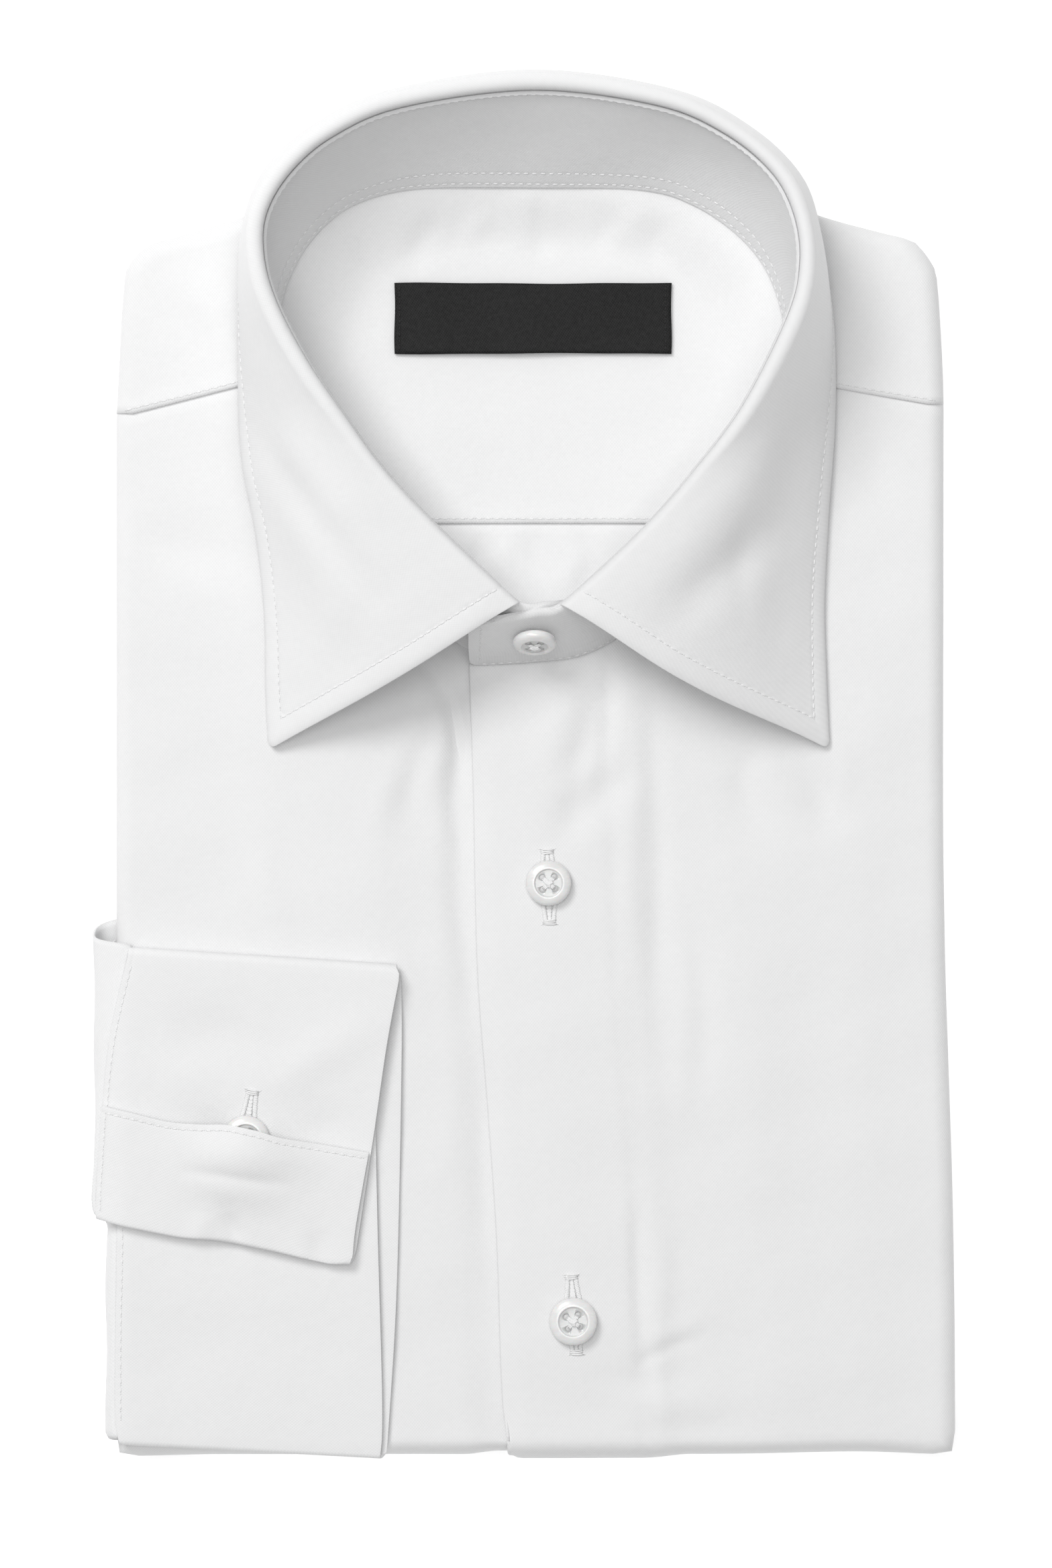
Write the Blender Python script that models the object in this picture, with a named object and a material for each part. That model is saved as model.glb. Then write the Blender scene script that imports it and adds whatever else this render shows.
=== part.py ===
"""A long-sleeved dress shirt, buttoned and folded flat, its collar standing and one cuff on its front.

Every size is in millimetres and MM turns it into Blender's metres. X runs across the shirt, Y from
its lower fold to its collar and Z up from the surface that it lies on. The left of a name is the
wearer's left, which lies at +X.
"""
import math

import bmesh
import bpy
import numpy as np
from mathutils import Matrix, Vector

MM = 0.001

# The folded bundle
CENTRE = (-0.84, 0.09)    # the middle of the whole shirt, which goes to the origin
TOP = 20.0                # the fronts lie this high
WALL = 1.0                # cloth
GAP = 0.35                # between one piece and the next
EDGE_REACH = 4.2          # how far a folded edge bulges past the flat part
EDGE_HALF = 4.2           # half the height of the upper bundle's folded edge
FOLD_HALF = 9.0           # half the height of the lower fold, which takes the whole bundle
FOLD_CORNER = 22.0        # along the lower fold from its corner to its full height
EDGE_TURN = math.radians(165)
CORE_DOWN = 2.6           # hidden layers lie this far under the skin
CORE_REACH = 2.1
CORE_CORNER = 6.0         # the hidden layers keep away from the shoulders' corners, along the top
CORE_SHOULDER = 1.5       # and down the sides
CORNER_REACH = 1.15       # mitre of a folded corner

# The outline seen from above: (y, x) down both sides and (x, y) along the top and the lower fold
LEFT_SIDE = ((-172, -102.0), (84, -102.0), (98, -101.4), (118, -100.2), (128, -98.3), (136, -94.0))
RIGHT_SIDE = ((-172, 106.9), (-142, 106.8), (-109, 106.3), (-76, 105.3), (-43, 104.3), (-10, 103.9),
              (87, 104.0), (117, 102.7), (128, 100.6), (136, 96.0))
TOP_SIDE = ((-104, 126.5), (-98.3, 128.3), (-68.8, 137.2), (-45, 147.5), (-22, 152.0), (0, 153.5),
            (24, 152.0), (47, 147.5), (71.7, 137.3), (93.8, 131.3), (106, 127.5))
LOWER_FOLD = ((-106, -171.7), (38, -171.7), (83, -171.0), (108, -171.4))

# The fronts
FREE_EDGE = ((-172, -4.3), (-153, -5.7), (-120, -6.8), (-87, -9.0), (-48, -11.8), (-4, -12.8), (25, -13.8))
PLACKET = 34.0            # width of the placket
PLACKET_LIFT = 1.0        # the placket lies on the other front
UNDER_DIP = 0.9           # and presses it down
YOKE_SEAM_LEFT = ((-61.5, 96.9), (-97.8, 87.6))
YOKE_SEAM_RIGHT = ((63.6, 96.2), (99.8, 90.0))
NECK_EDGE_UNDER = ((-61.5, 96.4), (-60.0, 92.5), (-55.5, 82.5), (-47, 67.0), (-37, 52.5), (-26, 39.5),
                   (-15, 30.0), (-6, 27.9), (6, 28.6), (13, 30.1), (26, 35.0))
NECK_EDGE_OVER = ((-14, 25.6), (-4, 25.8), (4, 26.4), (13, 27.6), (22.5, 31.6), (34, 42.8),
                  (45.5, 56.8), (56, 72.8), (61.5, 88.0), (63.6, 95.9))

# Soft folds pressed in the fronts: start x, start y, end x, end y, width, depth
SOFT_FOLDS = (
    (-23, 20, -15, -16, 6, 0.8),
    (-34, 6, -19, -26, 6, 0.6),
    (24, 18, 26, -36, 6, 0.7),
    (34, -4, 37, -72, 7, 0.5),
    (52, 6, 57, -22, 6, 0.6),
    (72, 0, 79, -18, 7, 0.6),
    (12, -160, 40, -150, 6, 0.7),
    (-17, -34, -12, -112, 6, 0.4),
    (-96, 62, -72, 50, 8, 0.6),
    (-76, -4, -69, -36, 8, 0.5),
    (80, 60, 92, 20, 8, 0.4),
    (64, -60, 70, -128, 9, 0.4),
)

# The hollow of the neck
NECK_CENTRE = (1.0, 88.0)
NECK_DEPTH = 4.0
NECK_SLOPE = 0.28         # share of the neck's radius that slopes down
NECK_SPARE = 1.4          # more room under the cloth of the hollow
BACK_SEAM_Y = 60.5
YOKE_WIDTH = (-40.0, 47.0)
BACK_TOP_WIDTH = (-38.0, 45.0)
BACK_LOW_WIDTH = (-20.0, 26.0)
BACK_LOW_Y = 33.0

# The collar stand's inner face, from its hidden end under the button, round the wearer's right, the
# back and the left, to the end that shows: seam x, seam y, seam z, top x, top y, top z (z over TOP)
STAND = (
    (13.0, 30.6, 0.0, 9.5, 42.8, 23.5),
    (6.0, 29.1, 0.0, 5.6, 41.2, 24.0),
    (-4.0, 28.3, 0.1, -1.5, 40.0, 24.5),
    (-15.0, 30.5, 0.3, -10.3, 47.9, 26.0),
    (-26.0, 40.0, 0.3, -22.8, 59.8, 27.5),
    (-37.0, 53.0, 0.3, -34.7, 72.5, 29.0),
    (-47.0, 67.5, 0.3, -44.4, 85.8, 30.5),
    (-55.5, 83.0, 0.3, -52.9, 98.2, 31.5),
    (-60.5, 98.5, 0.3, -60.3, 112.1, 32.0),
    (-61.0, 113.0, 0.5, -63.6, 123.2, 32.0),
    (-56.6, 125.4, 0.6, -63.3, 133.9, 31.5),
    (-49.8, 134.2, 0.8, -57.5, 144.3, 30.5),
    (-41.0, 140.0, 0.9, -47.0, 153.4, 29.5),
    (-26.3, 143.3, 1.1, -30.0, 160.6, 29.0),
    (1.0, 143.6, 1.2, 2.0, 164.8, 28.5),
    (28.5, 143.0, 1.1, 32.0, 161.0, 29.0),
    (41.3, 139.4, 0.9, 48.5, 154.0, 29.5),
    (52.5, 131.8, 0.8, 60.0, 144.3, 30.5),
    (59.8, 122.5, 0.6, 65.4, 133.6, 31.5),
    (63.8, 110.0, 0.5, 66.6, 122.0, 32.0),
    (63.4, 96.5, 0.3, 63.6, 109.4, 32.0),
    (57.0, 76.0, 0.3, 52.6, 87.5, 30.5),
    (46.2, 59.5, 0.3, 40.6, 71.6, 29.0),
    (34.5, 44.8, 0.3, 29.8, 59.3, 27.5),
    (23.0, 33.4, 0.6, 18.0, 48.0, 26.0),
    (13.0, 28.3, 1.1, 8.3, 39.5, 25.0),
    (4.0, 27.1, 1.1, 3.0, 38.4, 24.3),
    (-4.0, 26.5, 1.1, -4.0, 37.2, 23.2),
    (-10.0, 26.2, 1.1, -9.5, 35.0, 21.0),
    (-13.6, 26.2, 1.2, -13.4, 31.8, 16.5),
)
STAND_WALL = 1.3
SEAM_UP = 0.2             # the stand's foot is this much clear of the cloth
STAND_BOW = 0.8
LEAF_FIRST, LEAF_LAST = 2, 26   # rows of STAND between which the leaf is sewn on

# The collar leaf's free edge, one row for each of those rows: x, y, z over TOP
LEAF_EDGE = (
    (-62.3, 5.0, 1.7),
    (-64.0, 17.5, 1.7),
    (-65.2, 36.0, 1.7),
    (-67.4, 57.0, 1.7),
    (-70.6, 74.5, 1.7),
    (-71.7, 91.0, 1.7),
    (-71.4, 108.0, 1.7),
    (-70.4, 121.0, 1.7),
    (-68.8, 134.0, 1.5),
    (-64.6, 146.6, -4.0),
    (-54.4, 157.2, -9.0),
    (-34.0, 166.6, -12.0),
    (2.0, 171.2, -13.0),
    (37.0, 167.0, -12.0),
    (56.8, 157.6, -9.0),
    (68.0, 145.6, -4.0),
    (72.4, 132.4, 1.5),
    (75.0, 118.0, 1.7),
    (76.8, 103.0, 1.7),
    (76.9, 83.0, 1.7),
    (75.4, 60.0, 1.7),
    (74.4, 40.0, 1.7),
    (74.7, 19.0, 1.7),
    (73.4, 5.4, 1.7),
)
LEAF_WALL = 1.2
LEAF_START = 1.6          # the leaf is sewn on this far over the stand
LEAF_ROLL = 2.2           # radius of the leaf's fold
LEAF_BOW = 2.6

# The label: two ends and two long edges
LABEL_X = (-32.7, 36.2)
LABEL_Y = (102.7, 120.2)

# The cuff is one ribbon folded four ways. Runs from its button end to its buttonhole end:
# layer, then the left and the right end of the lines that the run passes
CUFF_WALL = 1.0
CUFF_LAYER = 1.75         # from the middle of one layer to the middle of the next
CUFF_RUNS = (
    (1, ((-100.5, -76.0), (-37.6, -76.0)), ((-101.3, -115.5), (-36.8, -114.8)),
     ((-101.8, -158.0), (-35.7, -155.0)), ((-101.0, -167.0), (-35.8, -170.6))),
    (0, ((-97.8, -167.2), (-34.5, -170.2)), ((-97.7, -120.0), (-32.1, -129.7)),
     ((-97.6, -80.0), (-30.9, -73.7)), ((-97.6, -47.2), (-31.0, -51.3))),
    (2, ((-98.6, -46.9), (-31.2, -51.4)), ((-103.0, -67.5), (-34.4, -68.5)),
     ((-105.2, -90.0), (-37.6, -90.5)), ((-106.4, -111.0), (-42.4, -122.0))),
    (3, ((-106.4, -111.0), (-43.0, -122.0)), ((-106.2, -104.0), (-42.3, -115.0)),
     ((-105.6, -94.0), (-40.6, -105.0)), ((-104.9, -85.6), (-38.9, -95.6))),
)
CUFF_DRAPE = 0.045        # how the cuff sinks past the flat part of the fronts
FLAT_LEFT = -97.8
CUFF_BUTTON = (-69.3, -92.2)
BAND_LIFT = 4.4           # the turned-up band passes over the cuff's button
BAND_LIFT_WIDTH = 14.0

# The sleeve goes round the left side into the gap between the bundles:
# y, then 1 on the layer that shows and 0 on the one against the body
SLEEVE_LOOP = ((-43.6, 1), (-58, 1), (-76, 1), (-96, 1), (-110, 1), (-119, 1), (-136, 1), (-152, 1),
               (-162, 1), (-166.2, 1), (-167.1, 0.5), (-166.2, 0), (-161, 0), (-145, 0),
               (-120, 0), (-95, 0), (-70, 0), (-50, 0), (-38, 0))
SLEEVE_WALL = 1.0
SLEEVE_INNER = 5.1        # radius of the layer against the body
SLEEVE_REACH = (6.5, 9.4)  # of the layer that shows, below and above the band's fold
SLEEVE_SPAN = (-176.0, -22.0)
SLEEVE_END = -91.0
SLEEVE_TAPER = 5.0        # the tucked end is narrower by this at the lower fold
SLEEVE_CURL = 1.6         # the lower fold keeps this much further off the cuff
SLEEVE_ROOM = 3.1
GROOVE = 3.0
SLEEVE_GROOVE = 8.6
LOWER_BULGE = 2.2
LAYER_STEP = 1.2          # from the upper bundle down to the lower one, past the fold

# Buttons: name, x, y, diameter
BUTTON_HEIGHT = 2.6
FLAT_BUTTONS = (("front_button_1", 5.6, -29.0, 11.2), ("front_button_2", 11.7, -137.7, 11.8))
CUFF_BUTTON_SIZE = 11.5
COLLAR_BUTTON_SIZE = 10.8
COLLAR_BUTTON_X = 2.4
COLLAR_BUTTON_UP = 0.6    # share of the stand's height
# radius as a share of the button's, height as a share of its height
BUTTON_PROFILE = ((0.0, 0.0), (0.84, 0.0), (1.0, 0.35), (0.97, 0.8), (0.84, 1.0), (0.62, 0.65),
                  (0.0, 0.6))
BUTTON_SIDES = 14
HOLE_RADIUS = 0.8
HOLE_PLACE = 1.45         # from the middle, along both of the button's own axes
HOLE_SIDES = 6

WHITE = (0.86, 0.865, 0.875)
PEARL = (0.88, 0.87, 0.84)
BLACK = (0.018, 0.018, 0.02)


def smooth(x):
    """0 below 0, 1 above 1 and a soft step between."""
    x = np.clip(x, 0.0, 1.0)
    return x * x * (3.0 - 2.0 * x)


def blend(a, b, share):
    return a + (b - a) * share


def curve(table, at):
    """A smooth curve through a table's (place, value) rows, read at one place or many."""
    places, values = np.array(table, float).T
    rises = np.diff(values) / np.diff(places)
    same_way = rises[:-1] * rises[1:] > 0
    both = np.where(same_way, rises[:-1] + rises[1:], 1.0)
    inner = np.where(same_way, 2 * rises[:-1] * rises[1:] / both, 0.0)
    slopes = np.concatenate([rises[:1], inner, rises[-1:]])
    at = np.clip(at, places[0], places[-1])
    k = np.clip(np.searchsorted(places, at) - 1, 0, len(places) - 2)
    step = places[k + 1] - places[k]
    t = (at - places[k]) / step
    return ((2 * t ** 3 - 3 * t ** 2 + 1) * values[k] + (t ** 3 - 2 * t ** 2 + t) * step * slopes[k]
            + (3 * t ** 2 - 2 * t ** 3) * values[k + 1] + (t ** 3 - t ** 2) * step * slopes[k + 1])


def sections(table, count, measured=3, fine=12):
    """count + 1 rows, evenly spaced along a smooth curve through a table's rows.

    The spacing is measured on the first columns."""
    rows = np.array(table, float)
    ends = np.vstack([2 * rows[0] - rows[1], rows, 2 * rows[-1] - rows[-2]])
    points = []
    for a, b, c, d in zip(ends, ends[1:], ends[2:], ends[3:]):
        for t in np.arange(fine) / fine:
            points.append(b + 0.5 * t * (c - a + t * (2 * a - 5 * b + 4 * c - d + t * (3 * (b - c) + d - a))))
    points = np.array(points + [rows[-1]])
    lengths = np.linalg.norm(np.diff(points[:, :measured], axis=0), axis=1)
    travelled = np.concatenate([[0.0], np.cumsum(lengths)])
    wanted = np.linspace(0.0, travelled[-1], count + 1)
    return np.column_stack([np.interp(wanted, travelled, column) for column in points.T])


def neck_ratio(x, y):
    """Distance from the neck's middle, as a share of the neckline's own distance in that direction."""
    ring = np.array(STAND)[LEAF_FIRST:LEAF_LAST, :2] - NECK_CENTRE
    angles = np.arctan2(ring[:, 1], ring[:, 0])
    order = np.argsort(angles)
    radius = np.interp(np.arctan2(y - NECK_CENTRE[1], x - NECK_CENTRE[0]), angles[order],
                       np.hypot(*ring[order].T), period=2 * math.pi)
    return np.hypot(x - NECK_CENTRE[0], y - NECK_CENTRE[1]) / radius


def skin(x, y):
    """Height of the cloth on top of the folded body, with its soft folds and the hollow of the neck."""
    height = TOP - NECK_DEPTH * smooth((1.0 - neck_ratio(x, y)) / NECK_SLOPE)
    for x0, y0, x1, y1, width, depth in SOFT_FOLDS:
        run = math.hypot(x1 - x0, y1 - y0)
        along = np.clip(((x - x0) * (x1 - x0) + (y - y0) * (y1 - y0)) / run ** 2, 0.0, 1.0)
        off = np.hypot(x - blend(x0, x1, along), y - blend(y0, y1, along))
        height = height - depth * np.sin(math.pi * (0.1 + 0.8 * along)) * np.exp(-(off / width) ** 2)
    return height


def past_free_edge(x, y):
    return x - curve(FREE_EDGE, y)


def placket_share(x, y):
    """1 on the placket, falling to 0 past its crease."""
    return 1.0 - smooth((past_free_edge(x, y) - PLACKET) / 12.0)


def covered_share(x, y):
    """1 where the right front lies under the placket."""
    return smooth((past_free_edge(x, y) + 11.0) / 9.0)


def edge_half(x, y):
    """Half the height of the folded edge next to a point: the lower fold takes in both bundles."""
    from_side = np.minimum(x - curve(LEFT_SIDE, y), curve(RIGHT_SIDE, y) - x) - EDGE_REACH
    low = smooth((-140.0 - y) / 20.0)
    return blend(EDGE_HALF, FOLD_HALF, smooth(from_side / FOLD_CORNER) * low)


def sheet(points):
    """An open grid laid on an array of points, rows by columns."""
    bm = bmesh.new()
    rows, columns = points.shape[:2]
    bmesh.ops.create_grid(bm, x_segments=columns - 1, y_segments=rows - 1, size=1.0)
    for vert, point in zip(bm.verts, points.reshape(-1, 3)):
        vert.co = Vector(point) * MM
    return bm


def outward(chain, closed):
    """Each point's outward direction in plan, for a chain that runs anticlockwise seen from above."""
    flat = [vert.co.xy for vert in chain]
    sides = []
    for here, there in zip(flat, flat[1:] + flat[:1]):
        along = (there - here).normalized()
        sides.append(Vector((along.y, -along.x)))
    if not closed:
        sides[-1] = sides[-2]
    found = []
    for k, side in enumerate(sides):
        before = sides[k - 1] if closed or k else side
        both = before + side
        mitre = 2.0 / max(both.length_squared, 0.5)
        found.append(both.normalized() * min(both.length * mitre, CORNER_REACH))
    return found


def extrude_rows(bm, chain, rows, closed=False):
    """Extrude a chain of edges once for each of the rows, which hold a reach and a height per point."""
    start = [vert.co.copy() for vert in chain]
    directions = outward(chain, closed)
    for row in rows:
        pairs = list(zip(chain, chain[1:])) + ([(chain[-1], chain[0])] if closed else [])
        made = bmesh.ops.extrude_edge_only(bm, edges=[bm.edges.get(pair) for pair in pairs])["geom"]
        fresh = {item for item in made if isinstance(item, bmesh.types.BMVert)}
        chain = [next(edge.other_vert(vert) for edge in vert.link_edges if edge.other_vert(vert) in fresh)
                 for vert in chain]
        for vert, origin, direction, (reach, height) in zip(chain, start, directions, row):
            vert.co.xy = origin.xy + direction * reach * MM
            vert.co.z = height * MM
    return chain


def roll_rows(chain, reach, half, turn, steps=5):
    """Reach and height of each point of a folded edge that curls down from a panel."""
    tops = np.array([vert.co.z / MM for vert in chain])
    angles = turn[None, :] * np.arange(1, steps + 1)[:, None] / steps
    return np.dstack([reach * np.sin(angles), tops - half + half * np.cos(angles)])


def plan(chain):
    return np.array([vert.co.xy[:] for vert in chain]).T / MM


def material(name, colour, roughness):
    made = bpy.data.materials.new(name)
    made.use_nodes = True
    shader = made.node_tree.nodes["Principled BSDF"]
    shader.inputs["Base Color"].default_value = (*colour, 1.0)
    shader.inputs["Roughness"].default_value = roughness
    shader.inputs["Metallic"].default_value = 0.0
    return made


def finish(name, bm, look, wall=0.0, side=-1.0):
    """Make the object. A wall grows to one side of the sheet: -1 under it, 1 over it, 0 both."""
    bmesh.ops.translate(bm, verts=bm.verts[:], vec=-Vector((*CENTRE, 0.0)) * MM)
    if not wall:
        bmesh.ops.recalc_face_normals(bm, faces=bm.faces[:])
    mesh = bpy.data.meshes.new(name)
    bm.to_mesh(mesh)
    bm.free()
    mesh.materials.append(look)
    mesh.shade_smooth()
    made = bpy.data.objects.new(name, mesh)
    bpy.context.scene.collection.objects.link(made)
    if wall:
        solid = made.modifiers.new("Wall", "SOLIDIFY")
        solid.thickness = wall * MM
        solid.offset = side
        solid.use_even_offset = False
    return made


def panel_grid(columns, rows, left, right, low, high, height):
    """Points of a panel between four edges: left and right are read at y, low and high at x."""
    u, v = np.meshgrid(np.linspace(0, 1, columns + 1), np.linspace(0, 1, rows + 1))
    nominal = blend(left(0.0), right(0.0), u)
    y = blend(low(nominal), high(nominal), v)
    x = blend(left(y), right(y), u)
    return np.dstack([x, y, height(x, y)])


def lower_edge(x):
    return curve(LOWER_FOLD, x) + EDGE_REACH


def seam_line(ends, x):
    (x0, y0), (x1, y1) = ends
    return blend(y0, y1, (x - x0) / (x1 - x0))


def front_right(look):
    """The wearer's right front, whose free edge lies under the placket."""
    def high(x):
        on_seam = seam_line(YOKE_SEAM_LEFT, x) - GAP
        return np.where(x < YOKE_SEAM_LEFT[0][0], on_seam, curve(NECK_EDGE_UNDER, x))

    def left(y):
        return curve(LEFT_SIDE, y) + EDGE_REACH

    def right(y):
        return curve(FREE_EDGE, y) + PLACKET - 3.0

    def height(x, y):
        return skin(x, y) - UNDER_DIP * covered_share(x, y)

    columns, rows = 13, 16
    bm = sheet(panel_grid(columns, rows, left, right, lower_edge, high, height))
    verts = bm.verts[:]
    width = columns + 1
    side = verts[rows * width::-width]
    chain = side + verts[1:width]
    x, y = plan(chain)
    covered = covered_share(x, y)
    half = edge_half(x, y) - UNDER_DIP * covered
    turn = EDGE_TURN - math.radians(45) * covered
    extrude_rows(bm, chain, roll_rows(chain, EDGE_REACH - UNDER_DIP * covered, half, turn))
    return finish("front_right", bm, look, WALL)


def front_left(look):
    """The wearer's left front with its turned-under placket, on top."""
    def high(x):
        on_seam = seam_line(YOKE_SEAM_RIGHT, x) - GAP
        return np.where(x > YOKE_SEAM_RIGHT[0][0], on_seam, curve(NECK_EDGE_OVER, x))

    def left(y):
        return curve(FREE_EDGE, y)

    def right(y):
        return curve(RIGHT_SIDE, y) - EDGE_REACH

    def height(x, y):
        return skin(x, y) + PLACKET_LIFT * placket_share(x, y)

    columns, rows = 13, 16
    bm = sheet(panel_grid(columns, rows, left, right, lower_edge, high, height))
    verts = bm.verts[:]
    width = columns + 1
    chain = verts[:width] + verts[2 * width - 1::width]
    x, y = plan(chain)
    lifted = PLACKET_LIFT * placket_share(x, y) * smooth((-140.0 - y) / 20.0)
    half = edge_half(x, y) + lifted
    extrude_rows(bm, chain, roll_rows(chain, EDGE_REACH + lifted, half, np.full(len(x), EDGE_TURN)))
    return finish("front_left", bm, look, WALL)


def shoulder_outline(count):
    """The flat part's outline from the left yoke seam over the shoulders to the right one."""
    (_, low_left), (_, low_right) = YOKE_SEAM_LEFT[1], YOKE_SEAM_RIGHT[1]
    up = np.linspace(low_left, 122.5, 12)
    across = np.linspace(-92.0, 94.5, 40)
    down = np.linspace(122.5, low_right, 12)
    left = np.column_stack([curve(LEFT_SIDE, up) + EDGE_REACH, up])
    top = np.column_stack([across, curve(TOP_SIDE, across) - EDGE_REACH])
    right = np.column_stack([curve(RIGHT_SIDE, down) - EDGE_REACH, down])
    return sections(np.vstack([left, top, right]), count, measured=2, fine=2)


def yoke(look):
    """One piece over both shoulders, down into the neck and as far as the back seam."""
    count = 22
    ring = np.array(STAND)[8:21, :2]
    ring[0] = YOKE_SEAM_LEFT[0]
    ring[-1] = YOKE_SEAM_RIGHT[0]
    ring = sections(ring, count, measured=2)
    rim = shoulder_outline(count)
    low = np.column_stack([np.linspace(*YOKE_WIDTH, count + 1), np.full(count + 1, BACK_SEAM_Y)])
    inside = [blend(low, ring, share) for share in (0.0, 0.3, 0.56, 0.74, 0.85, 0.93, 1.0)]
    outside = [blend(ring, rim, share) for share in (0.34, 0.67, 1.0)]
    flat = np.array(inside + outside)
    heights = skin(flat[..., 0], flat[..., 1])
    bm = sheet(np.dstack([flat, heights]))
    verts = bm.verts[:]
    chain = verts[:-count - 2:-1]
    x, y = plan(chain)
    full = np.full(len(x), 1.0)
    extrude_rows(bm, chain, roll_rows(chain, EDGE_REACH * full, EDGE_HALF * full, EDGE_TURN * full))
    return finish("yoke", bm, look, WALL)


def back_panel(look):
    """What shows of the back below its yoke, inside the neck."""
    u, v = np.meshgrid(np.linspace(0, 1, 9), np.linspace(0, 1, 6))
    x = blend(blend(*BACK_LOW_WIDTH, u), blend(*BACK_TOP_WIDTH, u), v)
    y = blend(BACK_LOW_Y + 6.0 * (2 * u - 1) ** 2, BACK_SEAM_Y - GAP, v)
    return finish("back_panel", sheet(np.dstack([x, y, skin(x, y)])), look, WALL)


def stand_faces(count):
    """Seam and top points of the stand's inner face, evenly spaced along the seam."""
    rows = sections(STAND, count)
    return rows[:, :3] + (0, 0, TOP + SEAM_UP), rows[:, 3:] + (0, 0, TOP)


def collar_stand(look):
    seam, top = stand_faces(50)
    middle = NECK_CENTRE + (TOP,)
    levels = []
    for share in np.linspace(0, 1, 4):
        points = blend(seam, top, share)
        away = points - middle
        away[:, 2] = 0.0
        away /= np.linalg.norm(away, axis=1)[:, None]
        levels.append(points + away * STAND_BOW * math.sin(math.pi * share))
    return finish("collar_stand", sheet(np.array(levels)), look, STAND_WALL)


def leaf_points(count, roll_steps=3, fall_steps=5):
    """The leaf's outer face: up from the stand, over its fold and down to its free edge."""
    tops = np.array(STAND)[LEAF_FIRST:LEAF_LAST, 3:]
    rows = sections(np.hstack([tops, np.array(LEAF_EDGE)[:len(tops)]]), count)
    fold = rows[:, :3] + (0, 0, TOP + LEAF_START)
    edge = rows[:, 3:] + (0, 0, TOP)
    out = (edge - fold) * (1, 1, 0)
    run = np.linalg.norm(out, axis=1)
    out /= run[:, None]
    up = np.array((0.0, 0.0, 1.0))
    centre = fold + out * LEAF_ROLL
    slope = np.arctan2(fold[:, 2] + LEAF_ROLL - edge[:, 2], run - LEAF_ROLL)
    levels = []
    for share in np.linspace(0, 1, roll_steps + 1):
        angle = blend(math.pi, math.pi / 2 - slope, share)[:, None]
        levels.append(centre + LEAF_ROLL * (out * np.cos(angle) + up * np.sin(angle)))
    start = levels[-1]
    proud = out * np.sin(slope)[:, None] + up * np.cos(slope)[:, None]
    for share in np.linspace(0, 1, fall_steps + 1)[1:]:
        levels.append(blend(start, edge, share) + proud * LEAF_BOW * math.sin(math.pi * share))
    return np.array(levels)


def collar_leaf(look):
    return finish("collar_leaf", sheet(leaf_points(44)), look, LEAF_WALL)


def neck_label(look):
    u, v = np.meshgrid(np.linspace(0, 1, 15), np.linspace(0, 1, 4))
    x = blend(*LABEL_X, u)
    y = blend(*LABEL_Y, v)
    return finish("neck_label", sheet(np.dstack([x, y, skin(x, y) + 1.5 * GAP + WALL])), look, WALL)


def drape(x):
    """How far the cuff sinks where it passes the flat part of the fronts."""
    return CUFF_DRAPE * np.maximum(FLAT_LEFT - x, 0.0) ** 2


def cuff_height(x, y, layer):
    """Middle of one of the cuff's layers. The last one lifts over the button."""
    base = TOP + GAP + CUFF_WALL / 2 + CUFF_LAYER * layer
    bx, by = CUFF_BUTTON
    near = np.exp(-((x - bx) / BAND_LIFT_WIDTH) ** 2 - ((y - by + 3.0) / 12.0) ** 2)
    return base - drape(x) + BAND_LIFT * near * np.clip(layer - 2.0, 0.0, 1.0)


def cuff_rows(columns, run_steps, turn_steps):
    """Rows of the cuff's middle surface along its length, each run from left to right."""
    rows = []
    share = np.linspace(0, 1, columns + 1)[:, None]
    for k, (layer, *lines) in enumerate(CUFF_RUNS):
        table = [[*left, *right] for left, right in lines]
        for line in sections(table, run_steps, measured=4):
            flat = blend(line[None, :2], line[None, 2:], share)
            rows.append(np.column_stack([flat, cuff_height(flat[:, 0], flat[:, 1], layer)]))
        if k + 1 == len(CUFF_RUNS):
            break
        after = CUFF_RUNS[k + 1][0]
        bulge = abs(after - layer) * CUFF_LAYER / 2
        heading = np.sign(lines[-1][0][1] - lines[0][0][1])
        (left_a, right_a), (left_b, right_b) = lines[-1], CUFF_RUNS[k + 1][1]
        for turned in np.arange(1, turn_steps) * math.pi / turn_steps:
            passed = (1.0 - math.cos(turned)) / 2
            line = blend(np.array([*left_a, *right_a]), np.array([*left_b, *right_b]), passed)
            flat = blend(line[None, :2], line[None, 2:], share)
            flat[:, 1] += heading * bulge * math.sin(turned)
            level = blend(layer, after, passed)
            rows.append(np.column_stack([flat, cuff_height(flat[:, 0], flat[:, 1], level)]))
    return np.array(rows)


def cuff(look):
    return finish("cuff", sheet(cuff_rows(8, 4, 5)), look, CUFF_WALL, side=0.0)


def cuff_left_edge(y):
    """Left end and height of the cuff's visible layer at y."""
    flap = [(y0, x0) for _, *lines in CUFF_RUNS[2:3] for (x0, y0), _ in reversed(lines)]
    under = [(y0, x0) for _, *lines in CUFF_RUNS[0:1] for (x0, y0), _ in reversed(lines)]
    above = smooth((y + 120.0) / 7.0)
    x = blend(curve(under, y), curve(flap, y), above)
    layer = blend(1.0, 2.0, above)
    return x, cuff_height(x, y, layer)


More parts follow.
